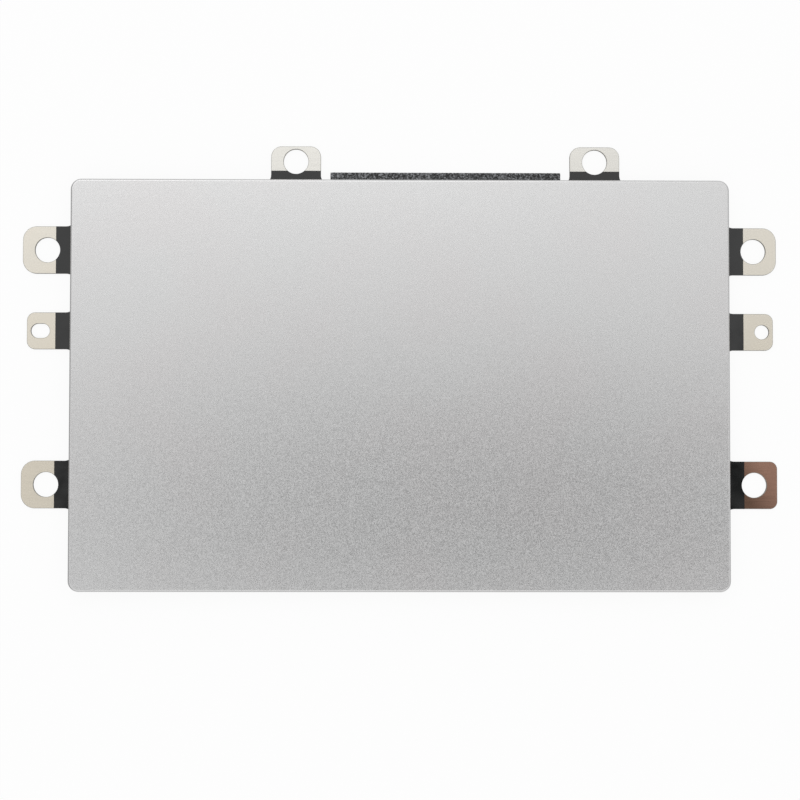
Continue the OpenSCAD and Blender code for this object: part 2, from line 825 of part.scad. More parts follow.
module memory_chip() {
    lead_pitch = 0.65;
    color("#26272a")
        translate([memory_x, memory_y, board_z])
            leaded_chip(memory_w, memory_w, 4, 4, lead_pitch, lead_pitch);
}

module voltage_regulator() {
    lead_pitch = 0.95;
    color("#26272a")
        translate([memory_x, regulator_y, board_z])
            leaded_chip(regulator_w, regulator_d, 2, 3, 2 * lead_pitch, lead_pitch);
}

module surge_suppressor() {
    lead_pitch = 0.65;
    color("#26272a")
        translate([suppressor_x, bay_y, board_z])
            leaded_chip(suppressor_w, suppressor_d, 3, 3, lead_pitch, lead_pitch);
}

module chip_capacitors() {
    color("#b08d63")
        for (place = capacitor_places)
            translate([place[0], place[1], board_z])
                rotate(place[2])
                    passive(capacitor_h);
}

module chip_resistors() {
    color("#2b2b2e")
        for (place = resistor_places)
            translate([place[0], place[1], board_z])
                rotate(place[2])
                    passive(resistor_h);
}

module connector_housing() {
    color("#e6dfcc")
        difference() {
            translate([connector_x, bay_y, board_z])
                difference() {
                    board_box(connector_w, connector_d, connector_h);
                    translate([-latch_recess_w / 2, -connector_d / 2 - eps, -connector_h - eps])
                        cube([latch_recess_w, connector_d / 2 + eps, connector_h - connector_floor_t + eps]);
                    translate([-cable_slot_w / 2, -eps, -connector_floor_t - cable_slot_h])
                        cube([cable_slot_w, connector_d / 2 + 2 * eps, cable_slot_h]);
                }
            latch_pins(latch_pin_r + latch_clearance, latch_pin_l + latch_clearance);
        }
}

// Pivot pins of the latch, on one axis along X
module latch_pins(r, reach) {
    span = latch_recess_w + 2 * reach;
    translate([connector_x - span / 2, latch_y, latch_z])
        rotate([0, 90, 0])
            cylinder(r = r, h = span);
}

module connector_contacts() {
    beam_end = connector_d / 2 - contact_setback;
    rear_end = -connector_d / 2;
    floor_z = -connector_floor_t;
    color("#d8b75a")
        for (i = [0 : contact_count - 1])
            translate([
                connector_x + (i - (contact_count - 1) / 2) * contact_pitch - contact_w / 2,
                bay_y, board_z
            ])
                rotate([90, 0, 90])
                    linear_extrude(contact_w)
                        polygon([
                            [beam_end, floor_z], [beam_end, floor_z - contact_t],
                            [rear_end - contact_t, floor_z - contact_t],
                            [rear_end - contact_t, -contact_t],
                            [rear_end - contact_tail_l, -contact_t],
                            [rear_end - contact_tail_l, 0], [rear_end, 0], [rear_end, floor_z]
                        ]);
}

module connector_anchors() {
    color("#c9cbcd")
        for (side = [0, 1])
            translate([connector_x, bay_y + connector_d / 2 - anchor_d, board_z])
                mirror([side, 0, 0])
                    translate([connector_w / 2, 0, 0]) {
                        translate([0, 0, -anchor_t])
                            cube([anchor_foot_w, anchor_d, anchor_t]);
                        translate([0, 0, -anchor_h])
                            cube([anchor_t, anchor_d, anchor_h]);
                    }
}

module connector_latch() {
    color("#2b2a28") {
        translate([connector_x - latch_w / 2, latch_y, latch_z])
            rotate([0, 90, 0])
                cylinder(r = latch_t / 2, h = latch_w);
        translate([connector_x - latch_w / 2, latch_y - latch_l, latch_z - latch_t / 2])
            cube([latch_w, latch_l, latch_t]);
        latch_pins(latch_pin_r, latch_pin_l);
    }
}

module switch_housing() {
    color("#2d2d30")
        translate([0, switch_y, switch_z])
            difference() {
                translate([-switch_w / 2, -switch_w / 2, 0])
                    cube([switch_w, switch_w, switch_h]);
                translate([0, 0, -eps])
                    cylinder(r = switch_cavity_d / 2, h = switch_h - switch_floor_t + eps);
            }
}

module switch_terminals() {
    color("#cfd0d2")
        for (side = [0, 1], end = [-1, 1])
            translate([0, switch_y + end * switch_terminal_pitch / 2, board_z - lid_t])
                mirror([side, 0, 0])
                    translate([switch_w / 2, -switch_terminal_w / 2, 0])
                        cube([switch_terminal_l, switch_terminal_w, lid_t]);
}

module switch_lid() {
    color("#c6c8ca")
        translate([0, switch_y, lid_z])
            difference() {
                union() {
                    translate([-switch_w / 2, -switch_w / 2 - lid_t, 0])
                        cube([switch_w, switch_w + 2 * lid_t, lid_t]);
                    for (side = [0, 1])
                        mirror([0, side, 0])
                            translate([-claw_w / 2, switch_w / 2, 0])
                                cube([claw_w, lid_t, lid_t + claw_h]);
                }
                translate([0, 0, -eps])
                    cylinder(r = lid_hole_r, h = lid_t + 2 * eps);
            }
}

module snap_dome() {
    color("#d5d3cc")
        translate([0, switch_y, dome_z])
            intersection() {
                translate([0, 0, dome_r - dome_h])
                    difference() {
                        sphere(dome_r, $fn = 360);
                        sphere(dome_r - dome_t, $fn = 360);
                    }
                translate([0, 0, -dome_h - eps])
                    cylinder(r = dome_d / 2, h = dome_h + eps);
            }
}

module switch_plunger() {
    color("#e8e6df")
        translate([0, switch_y, 0]) {
            translate([0, 0, plunger_tip_z])
                cylinder(r = plunger_d / 2, h = switch_z - plunger_tip_z + eps);
            translate([0, 0, switch_z])
                cylinder(r = plunger_flange_d / 2, h = plunger_flange_t);
        }
}

mounting_bracket();
insulating_film();
rear_tape();
hinge_spring_left();
hinge_spring_right();
spring_rivets();
click_shim();
front_bumpers();
touch_cover();
cover_adhesive();
sensor_board();
stiffener_adhesive();
stiffener_plate();
spring_nuts();
spring_screws();
touch_controller();
memory_chip();
voltage_regulator();
surge_suppressor();
chip_capacitors();
chip_resistors();
connector_housing();
connector_contacts();
connector_anchors();
connector_latch();
switch_housing();
switch_terminals();
switch_lid();
snap_dome();
switch_plunger();
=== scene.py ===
# %% [markdown]
# # A click trackpad for a laptop, dressed in Blender
# The real thing is a silver touch sheet on a circuit board, which tilts on two leaf springs above a stamped
# bracket with eight ears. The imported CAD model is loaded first, as a fixed frame that holds every size and
# place. Each piece below is then set by the frame's own boxes, so nothing has to be fitted by eye.

import json
import math

import bmesh
import bpy
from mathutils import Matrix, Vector


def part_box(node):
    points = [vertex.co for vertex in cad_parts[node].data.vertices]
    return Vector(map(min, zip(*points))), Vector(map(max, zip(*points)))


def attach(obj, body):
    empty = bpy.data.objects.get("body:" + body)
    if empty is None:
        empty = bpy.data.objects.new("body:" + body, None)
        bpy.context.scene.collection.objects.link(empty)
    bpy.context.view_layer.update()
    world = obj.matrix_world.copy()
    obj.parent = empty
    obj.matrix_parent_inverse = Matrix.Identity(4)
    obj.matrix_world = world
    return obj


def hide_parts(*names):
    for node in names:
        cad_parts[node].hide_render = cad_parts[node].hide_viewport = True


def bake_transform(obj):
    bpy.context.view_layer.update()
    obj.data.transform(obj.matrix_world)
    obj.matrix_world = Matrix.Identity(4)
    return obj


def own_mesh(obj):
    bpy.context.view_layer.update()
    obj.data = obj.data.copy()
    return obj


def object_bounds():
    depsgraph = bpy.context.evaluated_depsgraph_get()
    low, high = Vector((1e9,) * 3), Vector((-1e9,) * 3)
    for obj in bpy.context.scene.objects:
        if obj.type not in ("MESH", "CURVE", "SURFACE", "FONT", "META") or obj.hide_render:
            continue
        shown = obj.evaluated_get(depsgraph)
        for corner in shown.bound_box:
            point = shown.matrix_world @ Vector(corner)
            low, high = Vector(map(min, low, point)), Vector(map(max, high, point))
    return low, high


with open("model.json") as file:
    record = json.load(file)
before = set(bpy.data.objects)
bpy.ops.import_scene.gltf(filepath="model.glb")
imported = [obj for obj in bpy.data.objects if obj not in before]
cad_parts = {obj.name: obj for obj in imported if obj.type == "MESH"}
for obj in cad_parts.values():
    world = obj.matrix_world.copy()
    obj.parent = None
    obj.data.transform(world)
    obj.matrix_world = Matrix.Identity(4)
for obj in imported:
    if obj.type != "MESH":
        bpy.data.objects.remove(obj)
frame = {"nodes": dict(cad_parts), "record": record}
cad_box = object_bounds()
MM = 0.001

# %% [markdown]
# ## Camera
# The module is seen almost straight from above, from a quarter of a metre away and a little towards the
# front edge. A camera could be set by eye, but here its place, tilt and focal length were worked out from
# the corners and the screw holes, whose real places are known. That keeps the faint perspective of the ears
# right.

# %% Camera above the module
CAMERA_PLACE = Vector((-2.75, -11.12, 263.2)) * MM
CAMERA_TILT = [math.radians(turn) for turn in (1.922, -0.600, 0.081)]
SENSOR_WIDTH = 36
IMAGE_WIDTH_PX = 800
FOCAL_PX = 1639.2
NEAREST = 10 * MM

lens = bpy.data.cameras.new("overhead_lens")
lens.sensor_width = SENSOR_WIDTH
lens.lens = SENSOR_WIDTH * FOCAL_PX / IMAGE_WIDTH_PX
lens.clip_start = NEAREST
camera = bpy.data.objects.new("overhead_camera", lens)
camera.location = CAMERA_PLACE
camera.rotation_euler = CAMERA_TILT
bpy.context.collection.objects.link(camera)
bpy.context.scene.camera = camera
bpy.context.scene.view_settings.view_transform = "Standard"
print("lens:", round(lens.lens, 2), "mm")

# %% [markdown]
# ## Colours, nodes and real sizes
# A finish is a small graph of shader nodes. Colours are written as sRGB hex values, as on a paint card, and
# the shader needs them linear, so one function turns them. Object coordinates are in metres here, so the
# scale of a pattern is one over its real width, which keeps the size of a grain or a scratch honest.

# %% Helpers for finishes
MIX_A, MIX_B, MIX_COLOUR = 6, 7, 2


def linear(code):
    """The linear colour, with alpha, of an sRGB hex value."""
    levels = [int(code[i:i + 2], 16) / 255 for i in (1, 3, 5)]
    return (*[v / 12.92 if v <= 0.04045 else ((v + 0.055) / 1.055) ** 2.4 for v in levels], 1.0)


def add(tree, kind, inputs=(), **settings):
    """Adds a node, sets its options, and fills or links the inputs that are named."""
    node = tree.nodes.new("ShaderNode" + kind)
    for option, value in settings.items():
        setattr(node, option, value)
    for socket, value in dict(inputs).items():
        if isinstance(value, bpy.types.NodeSocket):
            tree.links.new(value, node.inputs[socket])
        else:
            node.inputs[socket].default_value = value
    return node


def per_mm(width):
    """The scale at which a pattern's cells are this many millimetres wide."""
    return 1 / (width * MM)


print("mid grey is", round(linear("#808080")[0], 3), "in linear light")

# %% [markdown]
# ## Studio light
# Satin metal is all reflection, so the room matters more than the lamps. The room is white, with a dim
# patch nearly overhead, as under an unlit part of a ceiling: it is what darkens the front half of the touch
# sheet. A world shader can draw that patch by the angle from one direction. A wide soft box that hangs flat
# behind the module brightens the rear edge. Both were fitted to the sheen: the mirror direction of each
# point on the sheet is known. The walls are shaded too, the left one most, which draws a dark line along
# that edge of the sheet, and so is the room below.

# %% White room and a soft box
WALL_LEVEL = 1.0
DIM_LEVEL = 0.032
DIM_LEAN = Vector((0.070, -0.039, 1.0))
DIM_REACH = Vector((0.424, 0.088, 1.0))
DIM_EDGE = (0.289, 1.233)
# Along each axis: where a shade starts, where it is full, and the share of light that it leaves
SHADES = {"X": ((-0.42, -0.78, 0.48), (0.40, 0.85, 0.65)),
          "Y": ((0.50, 0.90, 0.80), (-0.50, -0.90, 0.75)),
          "Z": ((-0.30, -1.00, 0.50),)}

world = bpy.data.worlds.new("white_room")
bpy.context.scene.world = world
world.use_nodes = True
tree = world.node_tree
tree.nodes.clear()
ray = add(tree, "LightPath").outputs
sight = add(tree, "TexCoord").outputs["Generated"]
lean = add(tree, "VectorMath", {0: sight, 1: DIM_LEAN}, operation="SUBTRACT").outputs[0]
lean = add(tree, "VectorMath", {0: lean, 1: DIM_REACH}, operation="DIVIDE").outputs[0]
away = add(tree, "VectorMath", {0: lean}, operation="LENGTH").outputs["Value"]
room = add(tree, "MapRange", {"Value": away, "From Min": DIM_EDGE[0], "From Max": DIM_EDGE[1],
                              "To Min": DIM_LEVEL, "To Max": WALL_LEVEL},
           interpolation_type="SMOOTHSTEP").outputs[0]
ways = add(tree, "SeparateXYZ", {0: sight}).outputs
for way, start, end, least in [(way, *span) for way in SHADES for span in SHADES[way]]:
    dimmer = add(tree, "MapRange", {"Value": ways[way], "From Min": start, "From Max": end,
                                    "To Min": 1.0, "To Max": least}, interpolation_type="SMOOTHSTEP")
    room = add(tree, "Math", {0: room, 1: dimmer.outputs[0]}, operation="MULTIPLY").outputs[0]
clear = add(tree, "Math", {0: ray["Is Camera Ray"], 1: ray["Is Transmission Ray"]}, operation="MAXIMUM")
strength = add(tree, "Mix", {"Factor": clear.outputs[0], "A": room, "B": 1.0})
backdrop = add(tree, "Background", {"Strength": strength.outputs[0]})
backdrop.inputs["Color"].default_value = linear("#FFFFFF")
add(tree, "OutputWorld", {"Surface": backdrop.outputs[0]})

BOX_PLACE = (-0.161, 0.343, 0.50)
BOX_SIZE = (0.543, 0.369)
BOX_POWER = 0.42

soft_box = bpy.data.lights.new("rear_soft_box", "AREA")
soft_box.shape = "RECTANGLE"
soft_box.size, soft_box.size_y = BOX_SIZE
soft_box.energy = BOX_POWER
holder = bpy.data.objects.new("rear_soft_box", soft_box)
holder.location = BOX_PLACE
holder.visible_camera = False
bpy.context.collection.objects.link(holder)
print("soft box", BOX_SIZE, "m at", BOX_PLACE)

# %% [markdown]
# ## Floor
# The floor is white paper under the bracket. White paint alone would render light grey, so what the eye
# sees of it is mostly plain white emission, with a share of ordinary diffuse paper that still takes the
# module's faint shadow. All other rays pass through, so that the floor adds no glare to the edges and the
# underside, which mirror the room instead, and from underneath it is clear.

# %% White paper floor
PAPER_SHARE = 0.08
FLOOR_GAP = 0.05 * MM
FLOOR_WIDTH = 4

bpy.ops.object.select_all(action="DESELECT")
bpy.ops.mesh.primitive_plane_add(size=FLOOR_WIDTH, location=(0, 0, cad_box[0].z - FLOOR_GAP))
floor = bpy.context.object
floor.name = "paper_floor"
paper = bpy.data.materials.new("white_paper")
paper.use_nodes = True
tree = paper.node_tree
tree.nodes.clear()
ray = add(tree, "LightPath").outputs
seen = add(tree, "Math", {0: ray["Is Camera Ray"], 1: ray["Is Transmission Ray"]}, operation="MAXIMUM")
back = add(tree, "NewGeometry").outputs["Backfacing"]
shown = add(tree, "Math", {0: seen.outputs[0], 1: back}, operation="SUBTRACT", use_clamp=True)
glow = add(tree, "Emission", {"Color": linear("#FFFFFF"), "Strength": 1.0})
fibre = add(tree, "BsdfDiffuse", {"Color": linear("#F6F6F6")})
sheet = add(tree, "MixShader", {0: PAPER_SHARE, 1: glow.outputs[0], 2: fibre.outputs[0]})
through = add(tree, "BsdfTransparent")
cover = add(tree, "MixShader", {0: shown.outputs[0], 1: through.outputs[0], 2: sheet.outputs[0]})
add(tree, "OutputMaterial", {"Surface": cover.outputs[0]})
floor.data.materials.append(paper)
print("floor at", round(floor.location.z / MM, 3), "mm")

# %% [markdown]
# ## Hands for modelling
# Modelling by hand means: add a primitive, pick some of its edges or faces, and run an operator on them. In
# a script the picking is done by place or normal. These few helpers do that, and they also make a piece
# ready: smooth shading with flat faces kept flat, a finish, and a body of the frame to ride on.

# %% Picking, boxes and copies
SAME_PLACE = 0.001 * MM
FLAT_ANGLE = math.radians(0.5)
SMOOTH_ANGLE = math.radians(38)
BEVEL_ANGLE = math.radians(40)


def select_only(*pieces):
    """Leaves just these pieces selected, with the first one active."""
    bpy.ops.object.select_all(action="DESELECT")
    for piece in pieces:
        piece.select_set(True)
    if pieces:
        bpy.context.view_layer.objects.active = pieces[0]


def pick(piece, kind, wanted):
    """Opens a piece in edit mode with the wanted verts, edges or faces selected."""
    if bpy.context.mode == "EDIT_MESH":
        bpy.ops.object.mode_set(mode="OBJECT")
    select_only(piece)
    bpy.ops.object.mode_set(mode="EDIT")
    bpy.ops.mesh.select_mode(type=kind)
    bpy.ops.mesh.select_all(action="DESELECT")
    mesh = bmesh.from_edit_mesh(piece.data)
    for element in {"VERT": mesh.verts, "EDGE": mesh.edges, "FACE": mesh.faces}[kind]:
        if wanted(element):
            element.select_set(True)
    bmesh.update_edit_mesh(piece.data)


def close():
    """Back to object mode."""
    bpy.ops.object.mode_set(mode="OBJECT")


def anything(element):
    """True for each vert, edge or face."""
    return True


def upright(edge):
    """True for an edge that stands along Z."""
    run = edge.verts[1].co - edge.verts[0].co
    return abs(run.z) > 0.99 * run.length


def level_with(height):
    """A test for edges that lie at one height."""
    return lambda edge: all(abs(vert.co.z - height) < SAME_PLACE for vert in edge.verts)


def centre_of(low, high):
    """The middle of a box, as seen from above."""
    return (low.x + high.x) / 2, (low.y + high.y) / 2


def centred(count):
    """The steps along a row of so many pieces, counted from its middle."""
    return [i - (count - 1) / 2 for i in range(count)]


def box_between(name, low, high):
    """A cube stretched between two corners, with its place in its mesh."""
    select_only()
    low, high = Vector(low), Vector(high)
    bpy.ops.mesh.primitive_cube_add(size=1, location=(low + high) / 2, scale=high - low)
    bpy.ops.object.transform_apply(location=True, rotation=True, scale=True)
    piece = bpy.context.object
    piece.name = name
    return piece


def rounded_box(name, low, high, radius, segments=2):
    """A box with every edge rounded."""
    piece = box_between(name, low, high)
    pick(piece, "EDGE", anything)
    bpy.ops.mesh.bevel(offset=radius, segments=segments, affect="EDGES")
    close()
    return piece


def cad_copy(node, name):
    """A merged copy of a CAD node's mesh, which is free to be shaped."""
    piece = bpy.data.objects.new(name, frame["nodes"][node].data.copy())
    bpy.context.collection.objects.link(piece)
    piece.data.materials.clear()
    select_only(piece)
    bpy.ops.mesh.customdata_custom_splitnormals_clear()
    pick(piece, "VERT", anything)
    bpy.ops.mesh.remove_doubles(threshold=SAME_PLACE)
    bpy.ops.mesh.dissolve_limited(angle_limit=FLAT_ANGLE)
    close()
    return piece


def apply_modifier(piece, kind, **settings):
    """Adds one modifier and applies it."""
    select_only(piece)
    modifier = piece.modifiers.new(kind.lower(), kind)
    for option, value in settings.items():
        setattr(modifier, option, value)
    bpy.ops.object.modifier_apply(modifier=modifier.name)


def soften(piece, radius, segments=2):
    """Rounds the sharp edges of a piece, as stamping, moulding and plating do."""
    apply_modifier(piece, "BEVEL", width=radius, segments=segments, limit_method="ANGLE",
                   angle_limit=BEVEL_ANGLE, use_clamp_overlap=False)


def copy_to(piece, offset, turn=0.0, about=(0, 0, 0)):
    """A copy with its own mesh, turned about a vertical line and then shifted."""
    select_only(piece)
    bpy.ops.object.duplicate()
    copy = bpy.context.object
    if turn:
        pick(copy, "VERT", anything)
        bpy.ops.transform.rotate(value=turn, orient_axis="Z", center_override=about)
        close()
    pick(copy, "VERT", anything)
    bpy.ops.transform.translate(value=offset)
    close()
    return copy


def join(name, pieces):
    """Makes one piece of several."""
    select_only(*pieces)
    bpy.ops.object.join()
    pieces[0].name = name
    return pieces[0]


def shade(piece, finish=None):
    """Smooth shading that keeps flat faces flat, and a finish where the piece has none yet."""
    select_only(piece)
    bpy.ops.object.shade_smooth_by_angle(angle=SMOOTH_ANGLE)
    apply_modifier(piece, "WEIGHTED_NORMAL", keep_sharp=True)
    if finish:
        piece.data.materials.clear()
        piece.data.materials.append(finish)


def settle(piece, body, slot, *nodes, finish=None):
    """Readies a piece: shading, finish, the body it rides on and the CAD nodes it stands for."""
    shade(piece, finish)
    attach(piece, body)
    if nodes:
        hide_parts(*nodes)
    print(piece.name, "rides on", body, "with", len(piece.data.polygons), "faces")


def rounded_copy(node, name, radius, body, slot, finish):
    """Readies a copy of a CAD node that only needs its edges rounded."""
    piece = cad_copy(node, name)
    soften(piece, radius)
    settle(piece, body, slot, node, finish=finish)


def dress(finish, *nodes):
    """Gives CAD nodes, whose shape is right as it is, a finish."""
    for node in nodes:
        frame["nodes"][node].data.materials.clear()
        frame["nodes"][node].data.materials.append(finish)
    print(finish.name, "on", ", ".join(nodes))


# %% [markdown]
# ## One recipe for grained finishes
# Most of the surfaces here are one material with one grain: rolled steel has streaks, moulded plastic has a
# spark eroded matt, rubber has a bloom. One noise of the right width can then steer colour, gloss and
# relief together, which is how a real grain works: the same pit is darker, rougher and lower. Finishes with
# more to them come later.

# %% Grained finish
METAL = {"Metallic": 1.0}
NOISE_LOW, NOISE_HIGH = 0.3, 0.7


def start_finish(name, sockets=()):
    """A material with one Principled shader. Gives it, its tree, the shader and Object coordinates."""
    finish = bpy.data.materials.new(name)
    finish.use_nodes = True
    tree = finish.node_tree
    tree.nodes.clear()
    shader = add(tree, "BsdfPrincipled", sockets)
    add(tree, "OutputMaterial", {"Surface": shader.outputs[0]})
    return finish, tree, shader, add(tree, "TexCoord").outputs["Object"]


def grained_finish(name, dark, light, grain, gloss, relief=0.0, stretch=(1, 1, 1), sockets=()):
    """Two shades, two roughness levels and a relief in mm that all follow one noise with a grain in mm."""
    finish, tree, shader, place = start_finish(name, sockets)
    laid = add(tree, "Mapping", {"Vector": place, "Scale": stretch}).outputs[0]
    noise = add(tree, "TexNoise", {"Vector": laid, "Scale": per_mm(grain), "Detail": 3.0}).outputs[0]
    spread = add(tree, "MapRange", {"Value": noise, "From Min": NOISE_LOW,
                                    "From Max": NOISE_HIGH}).outputs[0]
    shades = add(tree, "Mix", {"Factor": spread, MIX_A: linear(dark), MIX_B: linear(light)},
                 data_type="RGBA")
    rough = add(tree, "MapRange", {"Value": spread, "To Min": gloss[0], "To Max": gloss[1]})
    tree.links.new(shades.outputs[MIX_COLOUR], shader.inputs["Base Color"])
    tree.links.new(rough.outputs[0], shader.inputs["Roughness"])
    if relief:
        bump = add(tree, "Bump", {"Height": noise, "Distance": relief * MM})
        tree.links.new(bump.outputs[0], shader.inputs["Normal"])
    return finish


print("recipe for grained finishes ready")

# %% [markdown]
# ## Touch sheet: finish
# The sheet a finger glides on is sprayed with satin silver lacquer: metal flakes in a matt clear coat. The
# eye sees an even grey with a fine sparkle, and a broad soft sheen that follows the room. A metallic base
# with a medium roughness gives the sheen, and a cell pattern makes each flake a little smoother or rougher
# than the next and tilts it its own way. A rough flake gathers light from wider around, so the grain shows
# where the sheet mirrors the dim part of the room and fades where it mirrors white, as on real lacquer,
# where grain that is only painted on would show everywhere. Real flakes are about 0.05 mm wide, too fine
# for the render, so they are drawn 0.14 mm wide.

# %% Sprayed silver lacquer
FLAKE = 0.14
FLAKE_TILT = 0.006
CLOUD = 16.0
CLOUD_SPAN = (0.4, 0.7)
CLOUD_SHARE = 0.2
SATIN = (0.205, 0.309)

silver_lacquer, tree, shader, place = start_finish("sprayed_silver_lacquer", {"Metallic": 0.95})
flake = add(tree, "TexVoronoi", {"Vector": place, "Scale": per_mm(FLAKE)}).outputs["Color"]
chance = add(tree, "SeparateXYZ", {0: flake}).outputs
satin = add(tree, "MapRange", {"Value": chance["Z"], "To Min": SATIN[0], "To Max": SATIN[1]})
grain = add(tree, "Mix", {"Factor": chance["Z"], MIX_A: linear("#D6D6D6"), MIX_B: linear("#DADADA")},
            data_type="RGBA").outputs[MIX_COLOUR]
cloud = add(tree, "TexNoise", {"Vector": place, "Scale": per_mm(CLOUD), "Detail": 1.0}).outputs[0]
blush = add(tree, "MapRange", {"Value": cloud, "From Min": CLOUD_SPAN[0], "From Max": CLOUD_SPAN[1],
                               "To Max": CLOUD_SHARE}).outputs[0]
tone = add(tree, "Mix", {"Factor": blush, MIX_A: grain, MIX_B: linear("#D9D3D3")}, data_type="RGBA")
tilt = add(tree, "VectorMath", {0: flake, 1: (2 * FLAKE_TILT, 2 * FLAKE_TILT, 0),
                                2: (-FLAKE_TILT, -FLAKE_TILT, 0)}, operation="MULTIPLY_ADD").outputs[0]
normal = add(tree, "NewGeometry").outputs["Normal"]
facing = add(tree, "VectorMath", {0: normal, 1: tilt}, operation="ADD").outputs[0]
facing = add(tree, "VectorMath", {0: facing}, operation="NORMALIZE").outputs[0]
tree.links.new(tone.outputs[MIX_COLOUR], shader.inputs["Base Color"])
tree.links.new(satin.outputs[0], shader.inputs["Roughness"])
tree.links.new(facing, shader.inputs["Normal"])
print(silver_lacquer.name, "with flakes of", FLAKE, "mm")

# %% [markdown]
# ## Touch sheet: shape
# The sheet is a thin plate with small round corners and an edge that is eased, so that it doesn't scrape
# the palm. A cube is enough to start from: the four upright edges become the corners, and then the rim of
# the top face and of the bottom face get their small roundings. Bevelling in that order lets the rim run
# smoothly round the corners.

# %% Touch sheet
CORNER_R, CORNER_STEPS = 1.7 * MM, 14
TOP_EASE, TOP_STEPS = 0.35 * MM, 5
BOTTOM_EASE, BOTTOM_STEPS = 0.04 * MM, 2

low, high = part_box("touch_cover")
touch_sheet = box_between("touch_sheet", low, high)
pick(touch_sheet, "EDGE", upright)
bpy.ops.mesh.bevel(offset=CORNER_R, segments=CORNER_STEPS, affect="EDGES")
for rim_z, ease, steps in ((high.z, TOP_EASE, TOP_STEPS), (low.z, BOTTOM_EASE, BOTTOM_STEPS)):
    pick(touch_sheet, "EDGE", level_with(rim_z))
    bpy.ops.mesh.bevel(offset=ease, segments=steps, affect="EDGES")
close()
settle(touch_sheet, "pad", "silver_coat", "touch_cover", finish=silver_lacquer)

# %% [markdown]
# ## Bracket: finish
# The bracket is cold rolled steel with a satin nickel plate. Nickel is a warm grey, with faint streaks
# along the rolling direction, and the ears, which lie in the open, have yellowed towards the front. The ear
# at the front right is tarnished brown, and its colour is darker towards its inner front corner, which the
# way from that ear's screw hole can steer: the hole's place comes from the record's own mounts. The strip
# was plated before it was stamped, so the cut edges are bare steel, darker and rougher; their darker colour
# is also a painted shade line along every edge.

# %% Satin nickel plate
STREAK = 0.12
STREAK_STRETCH = (0.03, 1, 1)
STREAK_RELIEF = 0.002 * MM
PLATE_GLOSS = (0.20, 0.30)
PATCH = 9.0
PATCH_SHARE = 0.5
YELLOW_FRONT, YELLOW_REAR = -20 * MM, 40 * MM
YELLOW_IN, YELLOW_OUT = 49 * MM, 55 * MM
TARNISH_EDGE = (5.6 * MM, 8.0 * MM)
TARNISH_WAY = (1.0, 0.6, 0.0)
TARNISH_DARK_END, TARNISH_PALE_END = -2.5 * MM, 3.2 * MM
TARNISH_STREAKS = 0.4


def screw_places(name):
    """The middles of the holes of a bolt pattern in the record, from left to right and front to rear."""
    mount = next(mount for mount in frame["record"]["mounts"] if mount["name"] == name)
    half_x, half_y = (mount["dims"].get(span, 0) / 2 * MM for span in ("spacing_x_mm", "spacing_y_mm"))
    offsets = sorted({(x, y, 0) for x in (-half_x, half_x) for y in (-half_y, half_y)})
    return [Vector(mount["pos_m"]) + Vector(offset) for offset in offsets]


tarnished_hole = screw_places("side_screws")[2]
satin_nickel, tree, shader, place = start_finish("satin_nickel_plate", METAL)
laid = add(tree, "Mapping", {"Vector": place, "Scale": STREAK_STRETCH}).outputs[0]
streak = add(tree, "TexNoise", {"Vector": laid, "Scale": per_mm(STREAK), "Detail": 2.0}).outputs[0]
plate = add(tree, "Mix", {"Factor": streak, MIX_A: linear("#D2D0CA"), MIX_B: linear("#E3E1DB")},
            data_type="RGBA").outputs[MIX_COLOUR]
patch = add(tree, "TexNoise", {"Vector": place, "Scale": per_mm(PATCH), "Detail": 2.0}).outputs[0]
axes = add(tree, "SeparateXYZ", {0: place}).outputs
front = add(tree, "MapRange", {"Value": axes["Y"], "From Min": YELLOW_REAR,
                               "From Max": YELLOW_FRONT}).outputs[0]
aside = add(tree, "Math", {0: axes["X"]}, operation="ABSOLUTE").outputs[0]
bared = add(tree, "MapRange", {"Value": aside, "From Min": YELLOW_IN, "From Max": YELLOW_OUT}).outputs[0]
aged = add(tree, "Math", {0: patch, 1: PATCH_SHARE, 2: front}, operation="MULTIPLY_ADD",
           use_clamp=True).outputs[0]
aged = add(tree, "Math", {0: aged, 1: bared}, operation="MULTIPLY").outputs[0]
yellowed = add(tree, "Mix", {"Factor": aged, MIX_A: plate, MIX_B: linear("#E5DDCD")},
               data_type="RGBA").outputs[MIX_COLOUR]
apart = add(tree, "VectorMath", {0: place, 1: tarnished_hole}, operation="SUBTRACT").outputs[0]
reach = add(tree, "VectorMath", {0: apart}, operation="LENGTH").outputs["Value"]
brown = add(tree, "MapRange", {"Value": reach, "From Min": TARNISH_EDGE[1], "From Max": TARNISH_EDGE[0]},
            interpolation_type="SMOOTHSTEP").outputs[0]
# The brown is darker towards the ear's inner front corner
slant = add(tree, "VectorMath", {0: apart, 1: TARNISH_WAY}, operation="DOT_PRODUCT").outputs["Value"]
oxide_paleness = add(tree, "MapRange", {"Value": slant, "From Min": TARNISH_DARK_END, "From Max": TARNISH_PALE_END,
                               "To Min": -TARNISH_STREAKS / 2, "To Max": 1 - TARNISH_STREAKS / 2}).outputs[0]
oxide_paleness = add(tree, "Math", {0: streak, 1: TARNISH_STREAKS, 2: oxide_paleness}, operation="MULTIPLY_ADD",
            use_clamp=True).outputs[0]
oxide = add(tree, "Mix", {"Factor": oxide_paleness, MIX_A: linear("#775D4E"), MIX_B: linear("#AC8674")},
            data_type="RGBA").outputs[MIX_COLOUR]
tinted = add(tree, "Mix", {"Factor": brown, MIX_A: yellowed, MIX_B: oxide}, data_type="RGBA")
rough = add(tree, "MapRange", {"Value": streak, "To Min": PLATE_GLOSS[0], "To Max": PLATE_GLOSS[1]})
bump = add(tree, "Bump", {"Height": streak, "Distance": STREAK_RELIEF, "Strength": 0.5})
tree.links.new(tinted.outputs[MIX_COLOUR], shader.inputs["Base Color"])
tree.links.new(rough.outputs[0], shader.inputs["Roughness"])
tree.links.new(bump.outputs[0], shader.inputs["Normal"])
